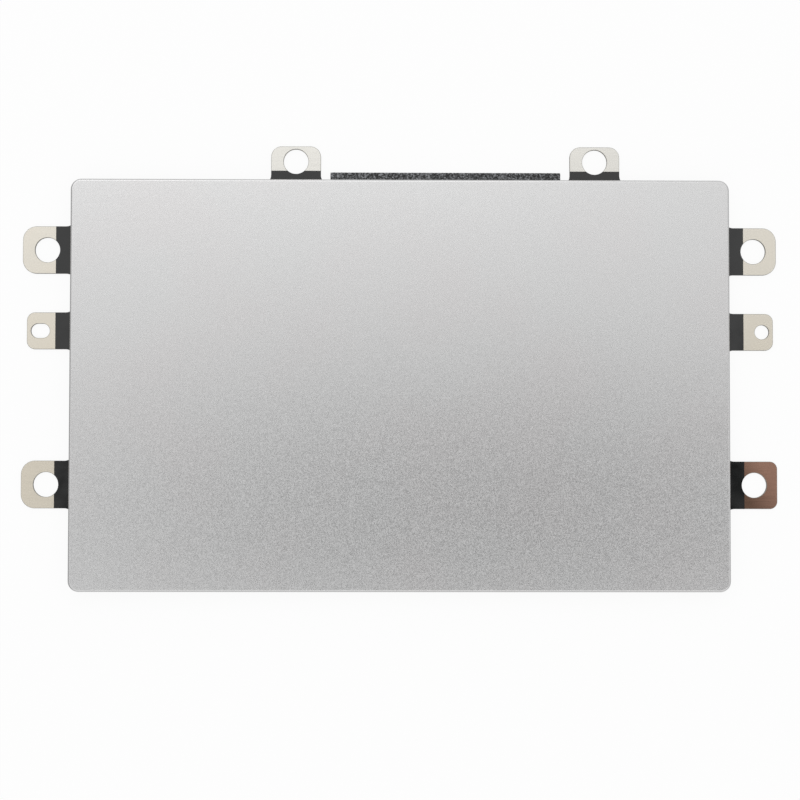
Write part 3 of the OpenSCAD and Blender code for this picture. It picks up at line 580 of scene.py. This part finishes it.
# Bare cut steel, whose darker colour is also a painted shade line round every ear and hole
bare_edge_painted_shade = grained_finish("sheared_steel_edge_painted_shade", "#85827B", "#9D9A93", 0.1, (0.34, 0.5),
                              relief=0.004, stretch=(1, 1, 0.2), sockets=METAL)
print("tarnish round", [round(value / MM, 2) for value in tarnished_hole], "mm")

# %% [markdown]
# ## Bracket: shape
# A punch press rounds one edge of a stamping and leaves the other crisp, and plating then softens both. The
# CAD outline is right, with its ears, holes and windows, so a merged copy of it only needs its edges
# rounded a little. All faces that don't lie flat then take the darker finish of the cut edge, which draws a
# fine line round every ear: bare steel, and a painted shade line as well.

# %% Stamped bracket
STAMPED_R = 0.06 * MM
FLAT_FACE = 0.97

bracket = cad_copy("mounting_bracket", "stamped_bracket")
soften(bracket, STAMPED_R)
bracket.data.materials.append(satin_nickel)
bracket.data.materials.append(bare_edge_painted_shade)
# Faces that don't lie flat get the bare edge finish, which is partly a painted shade line
for face in bracket.data.polygons:
    face.material_index = int(abs(face.normal.z) < FLAT_FACE)
settle(bracket, "bracket", "nickel_steel", "mounting_bracket")

# %% [markdown]
# ## Insulating film: finish
# A black polyester film is stuck on the bracket and shows as the dark band on each ear. It is glossy, and
# it isn't quite flat, because glue and dust sit under it. Its finish has a slow relief for the glue, about
# 2.5 mm wide, and a fine matt grain that is drawn 0.15 mm wide.

# %% Calendered black polyester
GLUE_WAVE, GLUE_RELIEF = 2.5, 0.04 * MM
FILM_GRAIN, GRAIN_RELIEF = 0.15, 0.001 * MM
FILM_GLOSS = (0.08, 0.20)

black_film, tree, shader, place = start_finish("calendered_black_polyester", {"IOR": 1.58})
fine = add(tree, "TexNoise", {"Vector": place, "Scale": per_mm(FILM_GRAIN), "Detail": 2.0}).outputs[0]
wave = add(tree, "TexNoise", {"Vector": place, "Scale": per_mm(GLUE_WAVE), "Detail": 1.0}).outputs[0]
tone = add(tree, "Mix", {"Factor": fine, MIX_A: linear("#0C0D0D"), MIX_B: linear("#191A1A")},
           data_type="RGBA")
rough = add(tree, "MapRange", {"Value": wave, "From Min": NOISE_LOW, "From Max": NOISE_HIGH,
                               "To Min": FILM_GLOSS[0], "To Max": FILM_GLOSS[1]})
swell = add(tree, "Bump", {"Height": wave, "Distance": GLUE_RELIEF, "Strength": 0.5}).outputs[0]
bump = add(tree, "Bump", {"Height": fine, "Distance": GRAIN_RELIEF, "Strength": 0.5, "Normal": swell})
tree.links.new(tone.outputs[MIX_COLOUR], shader.inputs["Base Color"])
tree.links.new(rough.outputs[0], shader.inputs["Roughness"])
tree.links.new(bump.outputs[0], shader.inputs["Normal"])
print(black_film.name, "with waves of", GLUE_WAVE, "mm")

# %% [markdown]
# ## Insulating film: shape
# The CAD film keeps clear of the screw holes, so that it never stands in a screw's way. On the real one the
# same punch cuts film and steel, so the film ends at the hole. In a merged copy, the round cuts are drawn
# in towards the hole's middle, and where a cut runs out at the film's edge, its two ends are drawn in along
# that edge.

# %% Punched film
CUT_R = 2.2 * MM
PUNCHED_R = 2.02 * MM
CUT_SLACK = 0.02 * MM
EDGE_SLACK = 0.01 * MM

low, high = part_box("insulating_film")
film = cad_copy("insulating_film", "punched_film")
for hole in screw_places("side_screws") + screw_places("rear_screws"):
    at_rear = hole.y > high.y
    drop = hole.y - high.y if at_rear else abs(hole.x) - high.x
    inwards = math.sqrt((PUNCHED_R ** 2 - drop ** 2) / (CUT_R ** 2 - drop ** 2))
    along_edge = (inwards, 1, 1) if at_rear else (1, inwards, 1)
    to_middle = (PUNCHED_R / CUT_R, PUNCHED_R / CUT_R, 1)
    for ends, factor in ((False, to_middle), (True, along_edge)):
        pick(film, "VERT", lambda vert: (vert.co - hole).xy.length < CUT_R + CUT_SLACK
             and (min(vert.co.x - low.x, high.x - vert.co.x, high.y - vert.co.y) < EDGE_SLACK) == ends)
        bpy.ops.transform.resize(value=factor, center_override=hole)
close()
settle(film, "bracket", "black_film", "insulating_film", finish=black_film)

# %% [markdown]
# ## Rear tape: finish
# The strip between the rear ears is acetate cloth tape, woven black. Its threads are smooth, so here and
# there a crown catches a grey light, while most stay black. The weave itself is modelled, and the glints are
# painted into the colour: a cell pattern, as wide as a crown, draws a chance for each, a power makes high
# ones rare, and those get a grey base colour, a painted highlight, and a smoother gloss.

# %% Woven acetate cloth
THREAD = 0.30
CROWN = 0.20
RARITY = 2.2
CLOTH_GLOSS = (0.58, 0.36)
FIBRE_RELIEF = 0.02 * MM

woven_acetate, tree, shader, place = start_finish("woven_acetate_cloth",
                                                  {"Sheen Weight": 0.2, "Sheen Roughness": 0.4})
crown = add(tree, "TexVoronoi", {"Vector": place, "Scale": per_mm(CROWN)}).outputs["Color"]
chance = add(tree, "SeparateXYZ", {0: crown}).outputs["X"]
painted_glint = add(tree, "Math", {0: chance, 1: RARITY}, operation="POWER").outputs[0]
# Painted highlight: the rare glinting crowns get a grey base colour that stands in for the light they catch
tone = add(tree, "Mix", {"Factor": painted_glint, MIX_A: linear("#0C0D0E"), MIX_B: linear("#96989C")},
           data_type="RGBA")
rough = add(tree, "MapRange", {"Value": painted_glint, "To Min": CLOTH_GLOSS[0], "To Max": CLOTH_GLOSS[1]})
fibre = add(tree, "TexNoise", {"Vector": place, "Scale": per_mm(THREAD / 4), "Detail": 2.0}).outputs[0]
bump = add(tree, "Bump", {"Height": fibre, "Distance": FIBRE_RELIEF, "Strength": 0.6})
tree.links.new(tone.outputs[MIX_COLOUR], shader.inputs["Base Color"])
tree.links.new(rough.outputs[0], shader.inputs["Roughness"])
tree.links.new(bump.outputs[0], shader.inputs["Normal"])
print(woven_acetate.name, "with threads of", THREAD, "mm")

# %% [markdown]
# ## Rear tape: shape
# In a plain weave every second crossing is on top. A grid with one vertex for each crossing can be picked
# like a chess board, the picked ones lifted and the others pushed down, and a subdivision surface then
# rounds them into threads. Solidify gives the tape its body. Real threads would need thousands of tubes for
# the same look.

# %% Woven tape
WEAVE_LIFT = 0.13 * MM
WEAVE_DEPTH = 0.045 * MM
TAPE_BODY = 0.10 * MM

low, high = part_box("rear_tape")
across = round((high.x - low.x) / (THREAD * MM))
along = round((high.y - low.y) / (THREAD * MM))
select_only()
bpy.ops.mesh.primitive_grid_add(x_subdivisions=across, y_subdivisions=along, size=1,
                                location=(*centre_of(low, high), high.z - WEAVE_DEPTH))
tape = bpy.context.object
tape.name = "woven_tape"
tape.scale = (high.x - low.x, high.y - low.y, 1)
bpy.ops.object.transform_apply(location=True, rotation=True, scale=True)


def crossing(vert):
    """Column plus row of a crossing, counted from the tape's lowest corner."""
    column = round((vert.co.x - low.x) / (high.x - low.x) * across)
    row = round((vert.co.y - low.y) / (high.y - low.y) * along)
    return column + row


for parity, lift in ((0, WEAVE_LIFT), (1, -WEAVE_LIFT)):
    pick(tape, "VERT", lambda vert: crossing(vert) % 2 == parity)
    bpy.ops.transform.translate(value=(0, 0, lift))
close()
apply_modifier(tape, "SUBSURF", levels=2, render_levels=2)
apply_modifier(tape, "SOLIDIFY", thickness=TAPE_BODY, offset=-1)
settle(tape, "bracket", "woven_tape", "rear_tape", finish=woven_acetate)
print("weave:", across, "by", along, "threads")

# %% [markdown]
# ## Steel of the springs, the stiffener and the fasteners
# Thin stainless strip comes from the rolling mill with long streaks, so its noise is stretched along the
# strip. The rivets and screws are small turned parts with a nickel plate and no direction. Three grained
# finishes, which differ in shade, stretch and gloss, are enough.

# %% Rolled and plated steels
spring_strip = grained_finish("rolled_stainless_strip", "#BEBFC1", "#D2D3D4", 0.08, (0.20, 0.32),
                              relief=0.002, stretch=(1, 0.03, 1), sockets=METAL)
stiffener_sheet = grained_finish("rolled_stainless_sheet", "#B6B7B7", "#CBCBCB", 0.14, (0.26, 0.40),
                                 relief=0.003, stretch=(0.02, 1, 1), sockets=METAL)
plated_fastener = grained_finish("nickel_plated_turned_steel", "#B3B5B7", "#CACBCC", 0.25, (0.22, 0.34),
                                 relief=0.004, sockets=METAL)
dress(stiffener_sheet, "stiffener_plate")

# %% [markdown]
# ## Leaf springs
# Each spring is one stamped strip: a foot riveted to the bracket, a sloping web with a slot, and a foot
# screwed to the pad. It is the hinge of the trackpad, so its web bends. The copy of the CAD strip is cut
# across its web into short lengths.

# %% Leaf springs
WEB_REAR_Y = 24.5 * MM
WEB_FRONT_Y = 19.5 * MM
WEB_CUTS = 8
STRIP_R = 0.02 * MM

for side in ("left", "right"):
    node = "hinge_spring_" + side
    spring = cad_copy(node, "leaf_spring_" + side)
    for i in range(WEB_CUTS + 1):
        cut_y = WEB_FRONT_Y + (WEB_REAR_Y - WEB_FRONT_Y) * i / WEB_CUTS
        pick(spring, "FACE", anything)
        bpy.ops.mesh.bisect(plane_co=(0, cut_y, 0), plane_no=(0, 1, 0))
    close()
    soften(spring, STRIP_R, 1)
    shade(spring, spring_strip)
    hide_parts(node)
    low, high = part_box(node)
    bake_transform(spring)
    print(spring.name, "bends over", WEB_CUTS, "lengths,", len(spring.data.polygons), "faces")

# %% [markdown]
# ## Turned pieces
# Rivets, screws and the switch's plunger are round, so each is turned as on a lathe: one vertex is extruded
# along half of the section, and the section is spun about its axis. Merging the doubles closes the seam and
# the poles, and the normals are then made to point outwards. The places come from the boxes of the CAD
# node's separate solids.

# %% Lathe
def turned(name, section, centre=(0, 0), steps=40):
    """Spins a section of (radius, height) points about an upright axis through a centre."""
    select_only()
    bpy.ops.mesh.primitive_plane_add(size=MM)
    piece = bpy.context.object
    piece.name = name
    pick(piece, "VERT", anything)
    bpy.ops.mesh.merge(type="CENTER")
    bpy.ops.transform.translate(value=(section[0][0], 0, section[0][1]))
    for here, there in zip(section, section[1:]):
        step = (there[0] - here[0], 0, there[1] - here[1])
        bpy.ops.mesh.extrude_region_move(TRANSFORM_OT_translate={"value": step})
    bpy.ops.mesh.select_all(action="SELECT")
    bpy.ops.mesh.spin(steps=steps, angle=math.tau, center=(0, 0, 0), axis=(0, 0, 1))
    bpy.ops.mesh.select_all(action="SELECT")
    bpy.ops.mesh.remove_doubles(threshold=SAME_PLACE)
    bpy.ops.mesh.normals_make_consistent(inside=False)
    bpy.ops.transform.translate(value=(*centre, 0))
    close()
    return piece


def solid_boxes(node):
    """The lowest and highest corners of each separate solid in a CAD node, in a fixed order."""
    probe = cad_copy(node, "probe")
    pick(probe, "VERT", anything)
    bpy.ops.mesh.separate(type="LOOSE")
    close()
    parts = list(bpy.context.selected_objects)
    boxes = [(Vector(part.bound_box[0]), Vector(part.bound_box[6])) for part in parts]
    bpy.ops.object.delete()
    return sorted(boxes, key=lambda box: (round(box[0].x / MM, 2), round(box[0].y / MM, 2)))


def copies_at(name, first, boxes):
    """Joins a piece, which stands in the first box, with copies of it in the other boxes."""
    return join(name, [first] + [copy_to(first, low - boxes[0][0]) for low, high in boxes[1:]])


def eased_rim(radius, ease, low_z):
    """The section of a rounded lower rim, a quarter turn from the flat end to the wall."""
    turns = [math.radians(22.5 * i) for i in range(5)]
    return [(radius - ease + ease * math.sin(turn), low_z + ease - ease * math.cos(turn)) for turn in turns]


print("lathe ready")

# %% [markdown]
# ## Rivets
# Four small rivets hold the springs to the bracket. Each has a domed head above the spring's foot and a
# tail that was spread into a countersink, so that the underside stays flat.

# %% Domed rivets
SHANK_R = 0.6 * MM
TAIL_R = 0.8 * MM
SINK_H = 0.23 * MM
HEAD_H, HEAD_RIM_H = 0.25 * MM, 0.06 * MM

boxes = solid_boxes("spring_rivets")
low, high = boxes[0]
head_r = (high.x - low.x) / 2
seat = high.z - HEAD_H
dome = [(head_r * math.cos(turn), seat + HEAD_RIM_H + (HEAD_H - HEAD_RIM_H) * math.sin(turn))
        for turn in (math.radians(15 * i) for i in range(6))]
rivet = turned("rivet", [(0, low.z), (TAIL_R, low.z), (SHANK_R, low.z + SINK_H), (SHANK_R, seat),
                         (head_r, seat), *dome, (0, high.z)], centre_of(low, high))
rivets = copies_at("domed_rivets", rivet, boxes)
settle(rivets, "bracket", "fastener_steel", "spring_rivets", finish=plated_fastener)

# %% [markdown]
# ## Screws
# Four pan head screws hold the springs to the pad from below. The head is turned with a rounded rim, and
# the cross recess for the driver is cut with two crossed boxes. A boolean is the quickest true cut for a
# shape that small.

# %% Pan head screws
THREAD_R = 0.8 * MM
PAN_H = 0.35 * MM
PAN_EASE = 0.12 * MM
RECESS_L, RECESS_W, RECESS_D = 1.5 * MM, 0.35 * MM, 0.20 * MM

boxes = solid_boxes("spring_screws")
low, high = boxes[0]
head_r = (high.x - low.x) / 2
centre = centre_of(low, high)
screw = turned("screw", [(0, low.z), *eased_rim(head_r, PAN_EASE, low.z), (head_r, low.z + PAN_H),
                         (THREAD_R, low.z + PAN_H), (THREAD_R, high.z), (0, high.z)], centre)
for reach_x, reach_y in ((RECESS_L, RECESS_W), (RECESS_W, RECESS_L)):
    cutter = box_between("cutter",
                         (centre[0] - reach_x / 2, centre[1] - reach_y / 2, low.z - RECESS_D),
                         (centre[0] + reach_x / 2, centre[1] + reach_y / 2, low.z + RECESS_D))
    apply_modifier(screw, "BOOLEAN", operation="DIFFERENCE", object=cutter, solver="EXACT")
    bpy.data.objects.remove(cutter)
pan_screws = copies_at("pan_head_screws", screw, boxes)
settle(pan_screws, "pad", "fastener_steel", "spring_screws", finish=plated_fastener)

# %% [markdown]
# ## Nuts, adhesives and shim
# These keep their CAD shapes. The nuts are tinned brass, turned from bar. The adhesive layers are cloudy
# acrylic that shows only as a pale line at the edge. The shim under the click switch is amber polyimide,
# smooth and a bit wavy.

# %% Brass, acrylic and polyimide
turned_brass = grained_finish("tinned_turned_brass", "#CDBB8E", "#E2D6B6", 0.2, (0.20, 0.34), relief=0.003,
                              sockets=METAL)
acrylic_adhesive = grained_finish("cast_acrylic_adhesive", "#D9D6CE", "#E8E6E0", 1.2, (0.45, 0.6),
                                  relief=0.01)
polyimide = grained_finish("cast_amber_polyimide", "#B4782A", "#CC9038", 0.8, (0.2, 0.3), relief=0.01)
dress(turned_brass, "spring_nuts")
dress(acrylic_adhesive, "cover_adhesive", "stiffener_adhesive")
dress(polyimide, "click_shim")

# %% [markdown]
# ## Front bumpers
# Two strips of soft rubber under the front edge end the pad's travel without a knock. They are die cut from
# sheet, so their top edges are round and their feet are square. A cube with two different bevels is the
# plainest way.

# %% Rubber bumpers
BUMPER_END_R, BUMPER_END_STEPS = 0.5 * MM, 6
BUMPER_TOP_R, BUMPER_TOP_STEPS = 0.16 * MM, 4

matt_rubber = grained_finish("moulded_matt_rubber", "#1B1B1B", "#262626", 0.12, (0.75, 0.9), relief=0.008)
boxes = solid_boxes("front_bumpers")
low, high = boxes[0]
bumper = box_between("bumper", low, high)
pick(bumper, "EDGE", upright)
bpy.ops.mesh.bevel(offset=BUMPER_END_R, segments=BUMPER_END_STEPS, affect="EDGES")
pick(bumper, "EDGE", level_with(high.z))
bpy.ops.mesh.bevel(offset=BUMPER_TOP_R, segments=BUMPER_TOP_STEPS, affect="EDGES")
close()
bumpers = copies_at("rubber_bumpers", bumper, boxes)
settle(bumpers, "bracket", "bumper_rubber", "front_bumpers", finish=matt_rubber)

# %% [markdown]
# ## Circuit board
# The board's lower face shows in the bay: black solder mask over copper traces, which stand out a little
# and look a shade lighter. Traces run in bundles, straight along one way or the other. A pattern of lines
# 0.45 mm apart along both ways, with a cell pattern that chooses between them, draws such bundles without a
# single image. The cut edge of the board has neither mask nor traces: there the bare laminate shows, which
# the direction of the face tells.

# %% Black solder mask over traces
TRACE_PITCH = 0.45 * MM
TRACE_WIDTH, TRACE_RELIEF = 0.16 * MM, 0.02 * MM
BUNDLE = 2.6
BARE_SHARE = 0.35
FACES_DOWN = -0.5
GLASS_CLOTH = 0.4

solder_mask, tree, shader, place = start_finish("screened_black_solder_mask", {"Roughness": 0.34})
axes = add(tree, "SeparateXYZ", {0: place}).outputs
bundle = add(tree, "TexVoronoi", {"Vector": place, "Scale": per_mm(BUNDLE)},
             distance="CHEBYCHEV").outputs["Color"]
draw = add(tree, "SeparateXYZ", {0: bundle}).outputs
lines = []
for axis in ("X", "Y"):
    comb = add(tree, "Math", {0: axes[axis], 1: TRACE_PITCH / 2}, operation="PINGPONG").outputs[0]
    lines.append(add(tree, "Math", {0: comb, 1: TRACE_WIDTH / 2}, operation="LESS_THAN").outputs[0])
way = add(tree, "Math", {0: draw["X"], 1: 0.5}, operation="GREATER_THAN").outputs[0]
drawn = add(tree, "Mix", {"Factor": way, "A": lines[0], "B": lines[1]}).outputs[0]
filled = add(tree, "Math", {0: draw["Y"], 1: BARE_SHARE}, operation="GREATER_THAN").outputs[0]
trace = add(tree, "Math", {0: drawn, 1: filled}, operation="MULTIPLY").outputs[0]
facing = add(tree, "SeparateXYZ", {0: add(tree, "NewGeometry").outputs["Normal"]}).outputs["Z"]
below = add(tree, "Math", {0: facing, 1: FACES_DOWN}, operation="LESS_THAN").outputs[0]
trace = add(tree, "Math", {0: trace, 1: below}, operation="MULTIPLY").outputs[0]
mask = add(tree, "Mix", {"Factor": trace, MIX_A: linear("#101514"), MIX_B: linear("#26302E")},
           data_type="RGBA").outputs[MIX_COLOUR]
laid = add(tree, "Mapping", {"Vector": place, "Scale": (1, 1, 6)}).outputs[0]
glass = add(tree, "TexNoise", {"Vector": laid, "Scale": per_mm(GLASS_CLOTH), "Detail": 2.0}).outputs[0]
laminate = add(tree, "Mix", {"Factor": glass, MIX_A: linear("#26281F"), MIX_B: linear("#4A4B3B")},
               data_type="RGBA").outputs[MIX_COLOUR]
tone = add(tree, "Mix", {"Factor": below, MIX_A: laminate, MIX_B: mask}, data_type="RGBA")
bump = add(tree, "Bump", {"Height": trace, "Distance": TRACE_RELIEF, "Strength": 0.6})
tree.links.new(tone.outputs[MIX_COLOUR], shader.inputs["Base Color"])
tree.links.new(bump.outputs[0], shader.inputs["Normal"])
dress(solder_mask, "sensor_board")

# %% [markdown]
# ## Metals and plastics of the small parts
# Chip leads, terminals and solder anchors are tinned and slightly cloudy. Contacts have a flash of gold.
# Chips are black epoxy with fine grit, capacitors fired brown ceramic, resistors white alumina with a black
# glaze. The connector is natural nylon, its latch and the switch are black, and the plunger is off-white.

# %% Small finishes
tinned = grained_finish("tinned_copper_alloy", "#B9BBBD", "#D6D7D9", 0.3, (0.22, 0.40), relief=0.006,
                        sockets=METAL)
gold_flash = grained_finish("gold_flashed_bronze", "#C79A4A", "#E3BC6A", 0.2, (0.18, 0.30), relief=0.003,
                            sockets=METAL)
epoxy = grained_finish("moulded_black_epoxy", "#161616", "#232324", 0.07, (0.48, 0.64), relief=0.006)
ceramic = grained_finish("fired_brown_ceramic", "#A08059", "#BC9C74", 0.15, (0.5, 0.62), relief=0.004)
alumina = grained_finish("fired_white_alumina", "#D9D8D2", "#ECEBE6", 0.1, (0.55, 0.7), relief=0.004)
glaze = grained_finish("fired_black_glaze", "#101112", "#1D1E20", 0.2, (0.16, 0.28), relief=0.004)
natural_nylon = grained_finish("moulded_natural_nylon", "#DAD3C2", "#E6E0D1", 0.1, (0.42, 0.56),
                               relief=0.005)
black_nylon = grained_finish("moulded_black_nylon", "#191A1B", "#262729", 0.1, (0.42, 0.58), relief=0.006)
white_nylon = grained_finish("moulded_white_nylon", "#DDDAD0", "#EAE7DF", 0.12, (0.34, 0.48), relief=0.004)
dress(gold_flash, "connector_contacts")
dress(tinned, "connector_anchors", "switch_terminals")

# %% [markdown]
# ## Touch controller
# The controller is a flat square package without legs: its contacts are small tinned pads at the edge next
# to the board. The resin body comes from CAD with the shallow round dimple that marks its first pin, so a
# merged copy only needs its edges rounded. One pad is modelled and copied along the four sides.

# %% Touch controller
PAD_COUNT = 12
PAD_PITCH = 0.42 * MM
PAD_W, PAD_H, PAD_PROUD = 0.22 * MM, 0.20 * MM, 0.02 * MM
PAD_GAP, PAD_R = 0.01 * MM, 0.008 * MM
PACKAGE_R = 0.04 * MM

low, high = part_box("touch_controller")
controller = cad_copy("touch_controller", "controller_body")
soften(controller, PACKAGE_R)
controller.data.materials.append(epoxy)
middle = (low + high) / 2
pad = rounded_box("contact_pad", (middle.x - PAD_W / 2, low.y - PAD_PROUD, high.z - PAD_H),
                  (middle.x + PAD_W / 2, low.y + 3 * PAD_PROUD, high.z - PAD_GAP), PAD_R, 1)
pad.data.materials.append(tinned)
row = join("pad_row", [copy_to(pad, (step * PAD_PITCH, 0, 0)) for step in centred(PAD_COUNT)])
bpy.data.objects.remove(pad)
rows = [row] + [copy_to(row, (0, 0, 0), math.pi / 2 * side, middle) for side in (1, 2, 3)]
controller = join("touch_controller_package", [controller, *rows])
settle(controller, "pad", "chip_resin", "touch_controller")

# %% [markdown]
# ## Chips with legs
# The memory, the regulator and the surge suppressor have bent legs. Their bodies are moulded in two halves,
# so the sides lean in from a parting line, and their legs are strips that come out at that line, step down
# to the board and end in a foot. One leg is extruded bend by bend, and copies of it stand along both sides.

# %% Chips with legs
DRAFT = 0.93
CHIP_R = 0.03 * MM
LEG_REACH, LEG_KNEE, LEG_W, LEG_T = 0.60 * MM, 0.27 * MM, 0.32 * MM, 0.14 * MM
LEG_ROOT = 0.05 * MM


def chip_body(name, low, high):
    """A moulded body: cut at half height, both faces drawn in, and all edges eased."""
    body = box_between(name, low, high)
    middle = (low + high) / 2
    pick(body, "FACE", anything)
    bpy.ops.mesh.bisect(plane_co=middle, plane_no=(0, 0, 1))
    pick(body, "FACE", lambda face: abs(face.normal.z) > 0.9)
    bpy.ops.transform.resize(value=(DRAFT, DRAFT, 1), center_override=middle)
    close()
    soften(body, CHIP_R)
    body.data.materials.append(epoxy)
    return body


def extrude_tip(leg, ahead, furthest, *pushes):
    """Extrudes the face that looks ahead and lies furthest along another way, once for each push."""
    ahead, furthest = Vector(ahead), Vector(furthest)
    looking = [face for face in leg.data.polygons if face.normal.dot(ahead) > 0.9]
    tip = max(looking, key=lambda face: face.center.dot(furthest)).index
    pick(leg, "FACE", lambda face: face.index == tip)
    for push in pushes:
        bpy.ops.mesh.extrude_region_move(TRANSFORM_OT_translate={"value": ahead * push})
    close()


def bent_leg(x, side_y, shoulder_z, board_z):
    """A leg on the rear side: out, a bend, up to the board, a bend, and the foot."""
    rear, up = (0, 1, 0), (0, 0, 1)
    half = LEG_T / 2
    leg = box_between("leg", (x - LEG_W / 2, side_y - LEG_ROOT, shoulder_z - half),
                      (x + LEG_W / 2, side_y + LEG_KNEE - LEG_T, shoulder_z + half))
    extrude_tip(leg, rear, rear, LEG_T)
    extrude_tip(leg, up, rear, board_z - LEG_T - shoulder_z - half, LEG_T)
    extrude_tip(leg, rear, up, LEG_REACH - LEG_KNEE)
    soften(leg, CHIP_R)
    leg.data.materials.append(tinned)
    return leg


def legged_chip(name, node, front_legs, rear_legs, pitch_front, pitch_rear):
    """A moulded body with rows of bent legs at the front and the rear."""
    low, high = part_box(node)
    low.y += LEG_REACH
    high.y -= LEG_REACH
    middle = (low + high) / 2
    parts = [chip_body(name, low, high)]
    leg = bent_leg(middle.x, high.y, middle.z, high.z)
    for count, pitch, turn in ((front_legs, pitch_front, math.pi), (rear_legs, pitch_rear, 0.0)):
        parts += [copy_to(leg, (step * pitch, 0, 0), turn, middle) for step in centred(count)]
    bpy.data.objects.remove(leg)
    chip = join(name, parts)
    settle(chip, "pad", "chip_resin", node)


legged_chip("memory_package", "memory_chip", 4, 4, 0.65 * MM, 0.65 * MM)
legged_chip("regulator_package", "voltage_regulator", 2, 3, 1.9 * MM, 0.95 * MM)
legged_chip("suppressor_package", "surge_suppressor", 3, 3, 0.65 * MM, 0.65 * MM)

# %% [markdown]
# ## Capacitors and resistors
# Each is a grain of ceramic with tinned ends that stand a hair proud, because they are dipped. The resistor
# also has a black glaze on the side that faces away from the board. One of each is modelled at the origin
# and copied to the places of the CAD solids, turned where the solid lies the other way.

# %% Chip capacitors and resistors
END_L, END_R, END_PROUD = 0.26 * MM, 0.05 * MM, 0.02 * MM
CORE_R = 0.02 * MM
GLAZE_LAP, GLAZE_MARGIN, GLAZE_SUNK, GLAZE_R = 0.02 * MM, 0.03 * MM, 0.005 * MM, 0.012 * MM


def chip_grain(name, node, core_finish, glaze_finish=None):
    """Models one grain with dipped ends and copies it to each solid of a CAD node."""
    boxes = solid_boxes(node)
    size = boxes[0][1] - boxes[0][0]
    length, width, height = max(size.x, size.y), min(size.x, size.y), size.z
    core_low = Vector((-length / 2 + END_PROUD, -width / 2 + END_PROUD, -height + END_PROUD))
    core = rounded_box(name, core_low, (-core_low.x, -core_low.y, 0), CORE_R)
    core.data.materials.append(core_finish)
    parts = [core]
    if glaze_finish:
        inset = END_L - GLAZE_LAP
        parts.append(rounded_box("glaze",
                                 (core_low.x + inset, core_low.y + GLAZE_MARGIN, -height + GLAZE_SUNK),
                                 (-core_low.x - inset, -core_low.y - GLAZE_MARGIN, -height / 2), GLAZE_R))
        parts[-1].data.materials.append(glaze_finish)
    for end in (-1, 1):
        tip, root = end * length / 2, end * (length / 2 - END_L)
        parts.append(rounded_box("end", (min(tip, root), -width / 2, -height),
                                 (max(tip, root), width / 2, 0), END_R, 3))
        parts[-1].data.materials.append(tinned)
    grain = join(name + "_one", parts)
    copies = []
    for low, high in boxes:
        lies_along_y = high.y - low.y > high.x - low.x
        copies.append(copy_to(grain, (*centre_of(low, high), high.z), math.pi / 2 if lies_along_y else 0.0))
    bpy.data.objects.remove(grain)
    return join(name, copies)


capacitors = chip_grain("dipped_capacitors", "chip_capacitors", ceramic)
settle(capacitors, "pad", "capacitor_ceramic", "chip_capacitors")
resistors = chip_grain("glazed_resistors", "chip_resistors", alumina, glaze)
settle(resistors, "pad", "resistor_film", "chip_resistors")

# %% [markdown]
# ## Cable connector
# The socket for the flat cable is moulded nylon with a latch that flips open on two pins. Both have the
# right shape in CAD, and a mould leaves no sharp edge, so a rounded copy of each is all they need. The
# latch rides on its own body, so it turns by itself.

# %% Connector housing and latch
MOULDED_R = 0.04 * MM

rounded_copy("connector_housing", "connector_shell", MOULDED_R, "pad", "connector_nylon", natural_nylon)
rounded_copy("connector_latch", "flip_latch", MOULDED_R, "latch", "latch_nylon", black_nylon)

# %% [markdown]
# ## Click switch
# The switch is a moulded cup with a metal lid, a plunger that comes out through it, and a snap dome inside
# that gives the click. The dome flattens as the plunger goes in.
# The plunger is turned, with a rounded tip, and rides on its own body.

# %% Click switch
LID_R = 0.05 * MM
TIP_R = 1.0 * MM
TIP_EASE = 0.15 * MM
FLANGE_H = 0.12 * MM

rounded_copy("switch_housing", "switch_cup", MOULDED_R, "pad", "switch_nylon", black_nylon)
rounded_copy("switch_lid", "switch_cap", LID_R, "pad", "tinned_metal", tinned)

low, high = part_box("switch_plunger")
flange_r = (high.x - low.x) / 2
flange_z = high.z - FLANGE_H
centre = centre_of(low, high)
plunger = turned("turned_plunger", [(0, low.z), *eased_rim(TIP_R, TIP_EASE, low.z), (TIP_R, flange_z),
                                    (flange_r, flange_z), (flange_r, high.z), (0, high.z)], centre)
settle(plunger, "plunger", "plunger_nylon", "switch_plunger", finish=white_nylon)

dome = cad_copy("snap_dome", "pressed_dome")
settle(dome, "pad", "spring_steel", "snap_dome", finish=spring_strip)
low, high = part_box("snap_dome")
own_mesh(dome)

# %% [markdown]
# ## Test points
# Beside the connector the board has rows of bare round test points, where a probe touches it in the
# factory. Each is a flat gold disc a few hundredths of a millimetre high, turned with an eased edge and
# copied along two rows.

# %% Test points
POINT_R, POINT_H = 0.42 * MM, 0.03 * MM
POINT_FLAT_R = 0.85 * POINT_R
POINT_PITCH = 1.5 * MM
POINT_COUNT = 6
ROW_OFFSET = 3.9 * MM

low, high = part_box("connector_housing")
board_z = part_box("sensor_board")[0].z
face_z = board_z - POINT_H
middle = (low + high) / 2
point = turned("point", [(0, face_z), (POINT_FLAT_R, face_z), (POINT_R, board_z - POINT_H / 2),
                         (POINT_R, board_z), (0, board_z)], steps=24)
points = [copy_to(point, (middle.x + step * POINT_PITCH, middle.y + side * ROW_OFFSET, 0))
          for side in (-1, 1) for step in centred(POINT_COUNT)]
bpy.data.objects.remove(point)
test_points = join("test_points", points)
settle(test_points, "pad", "contact_gold", finish=gold_flash)
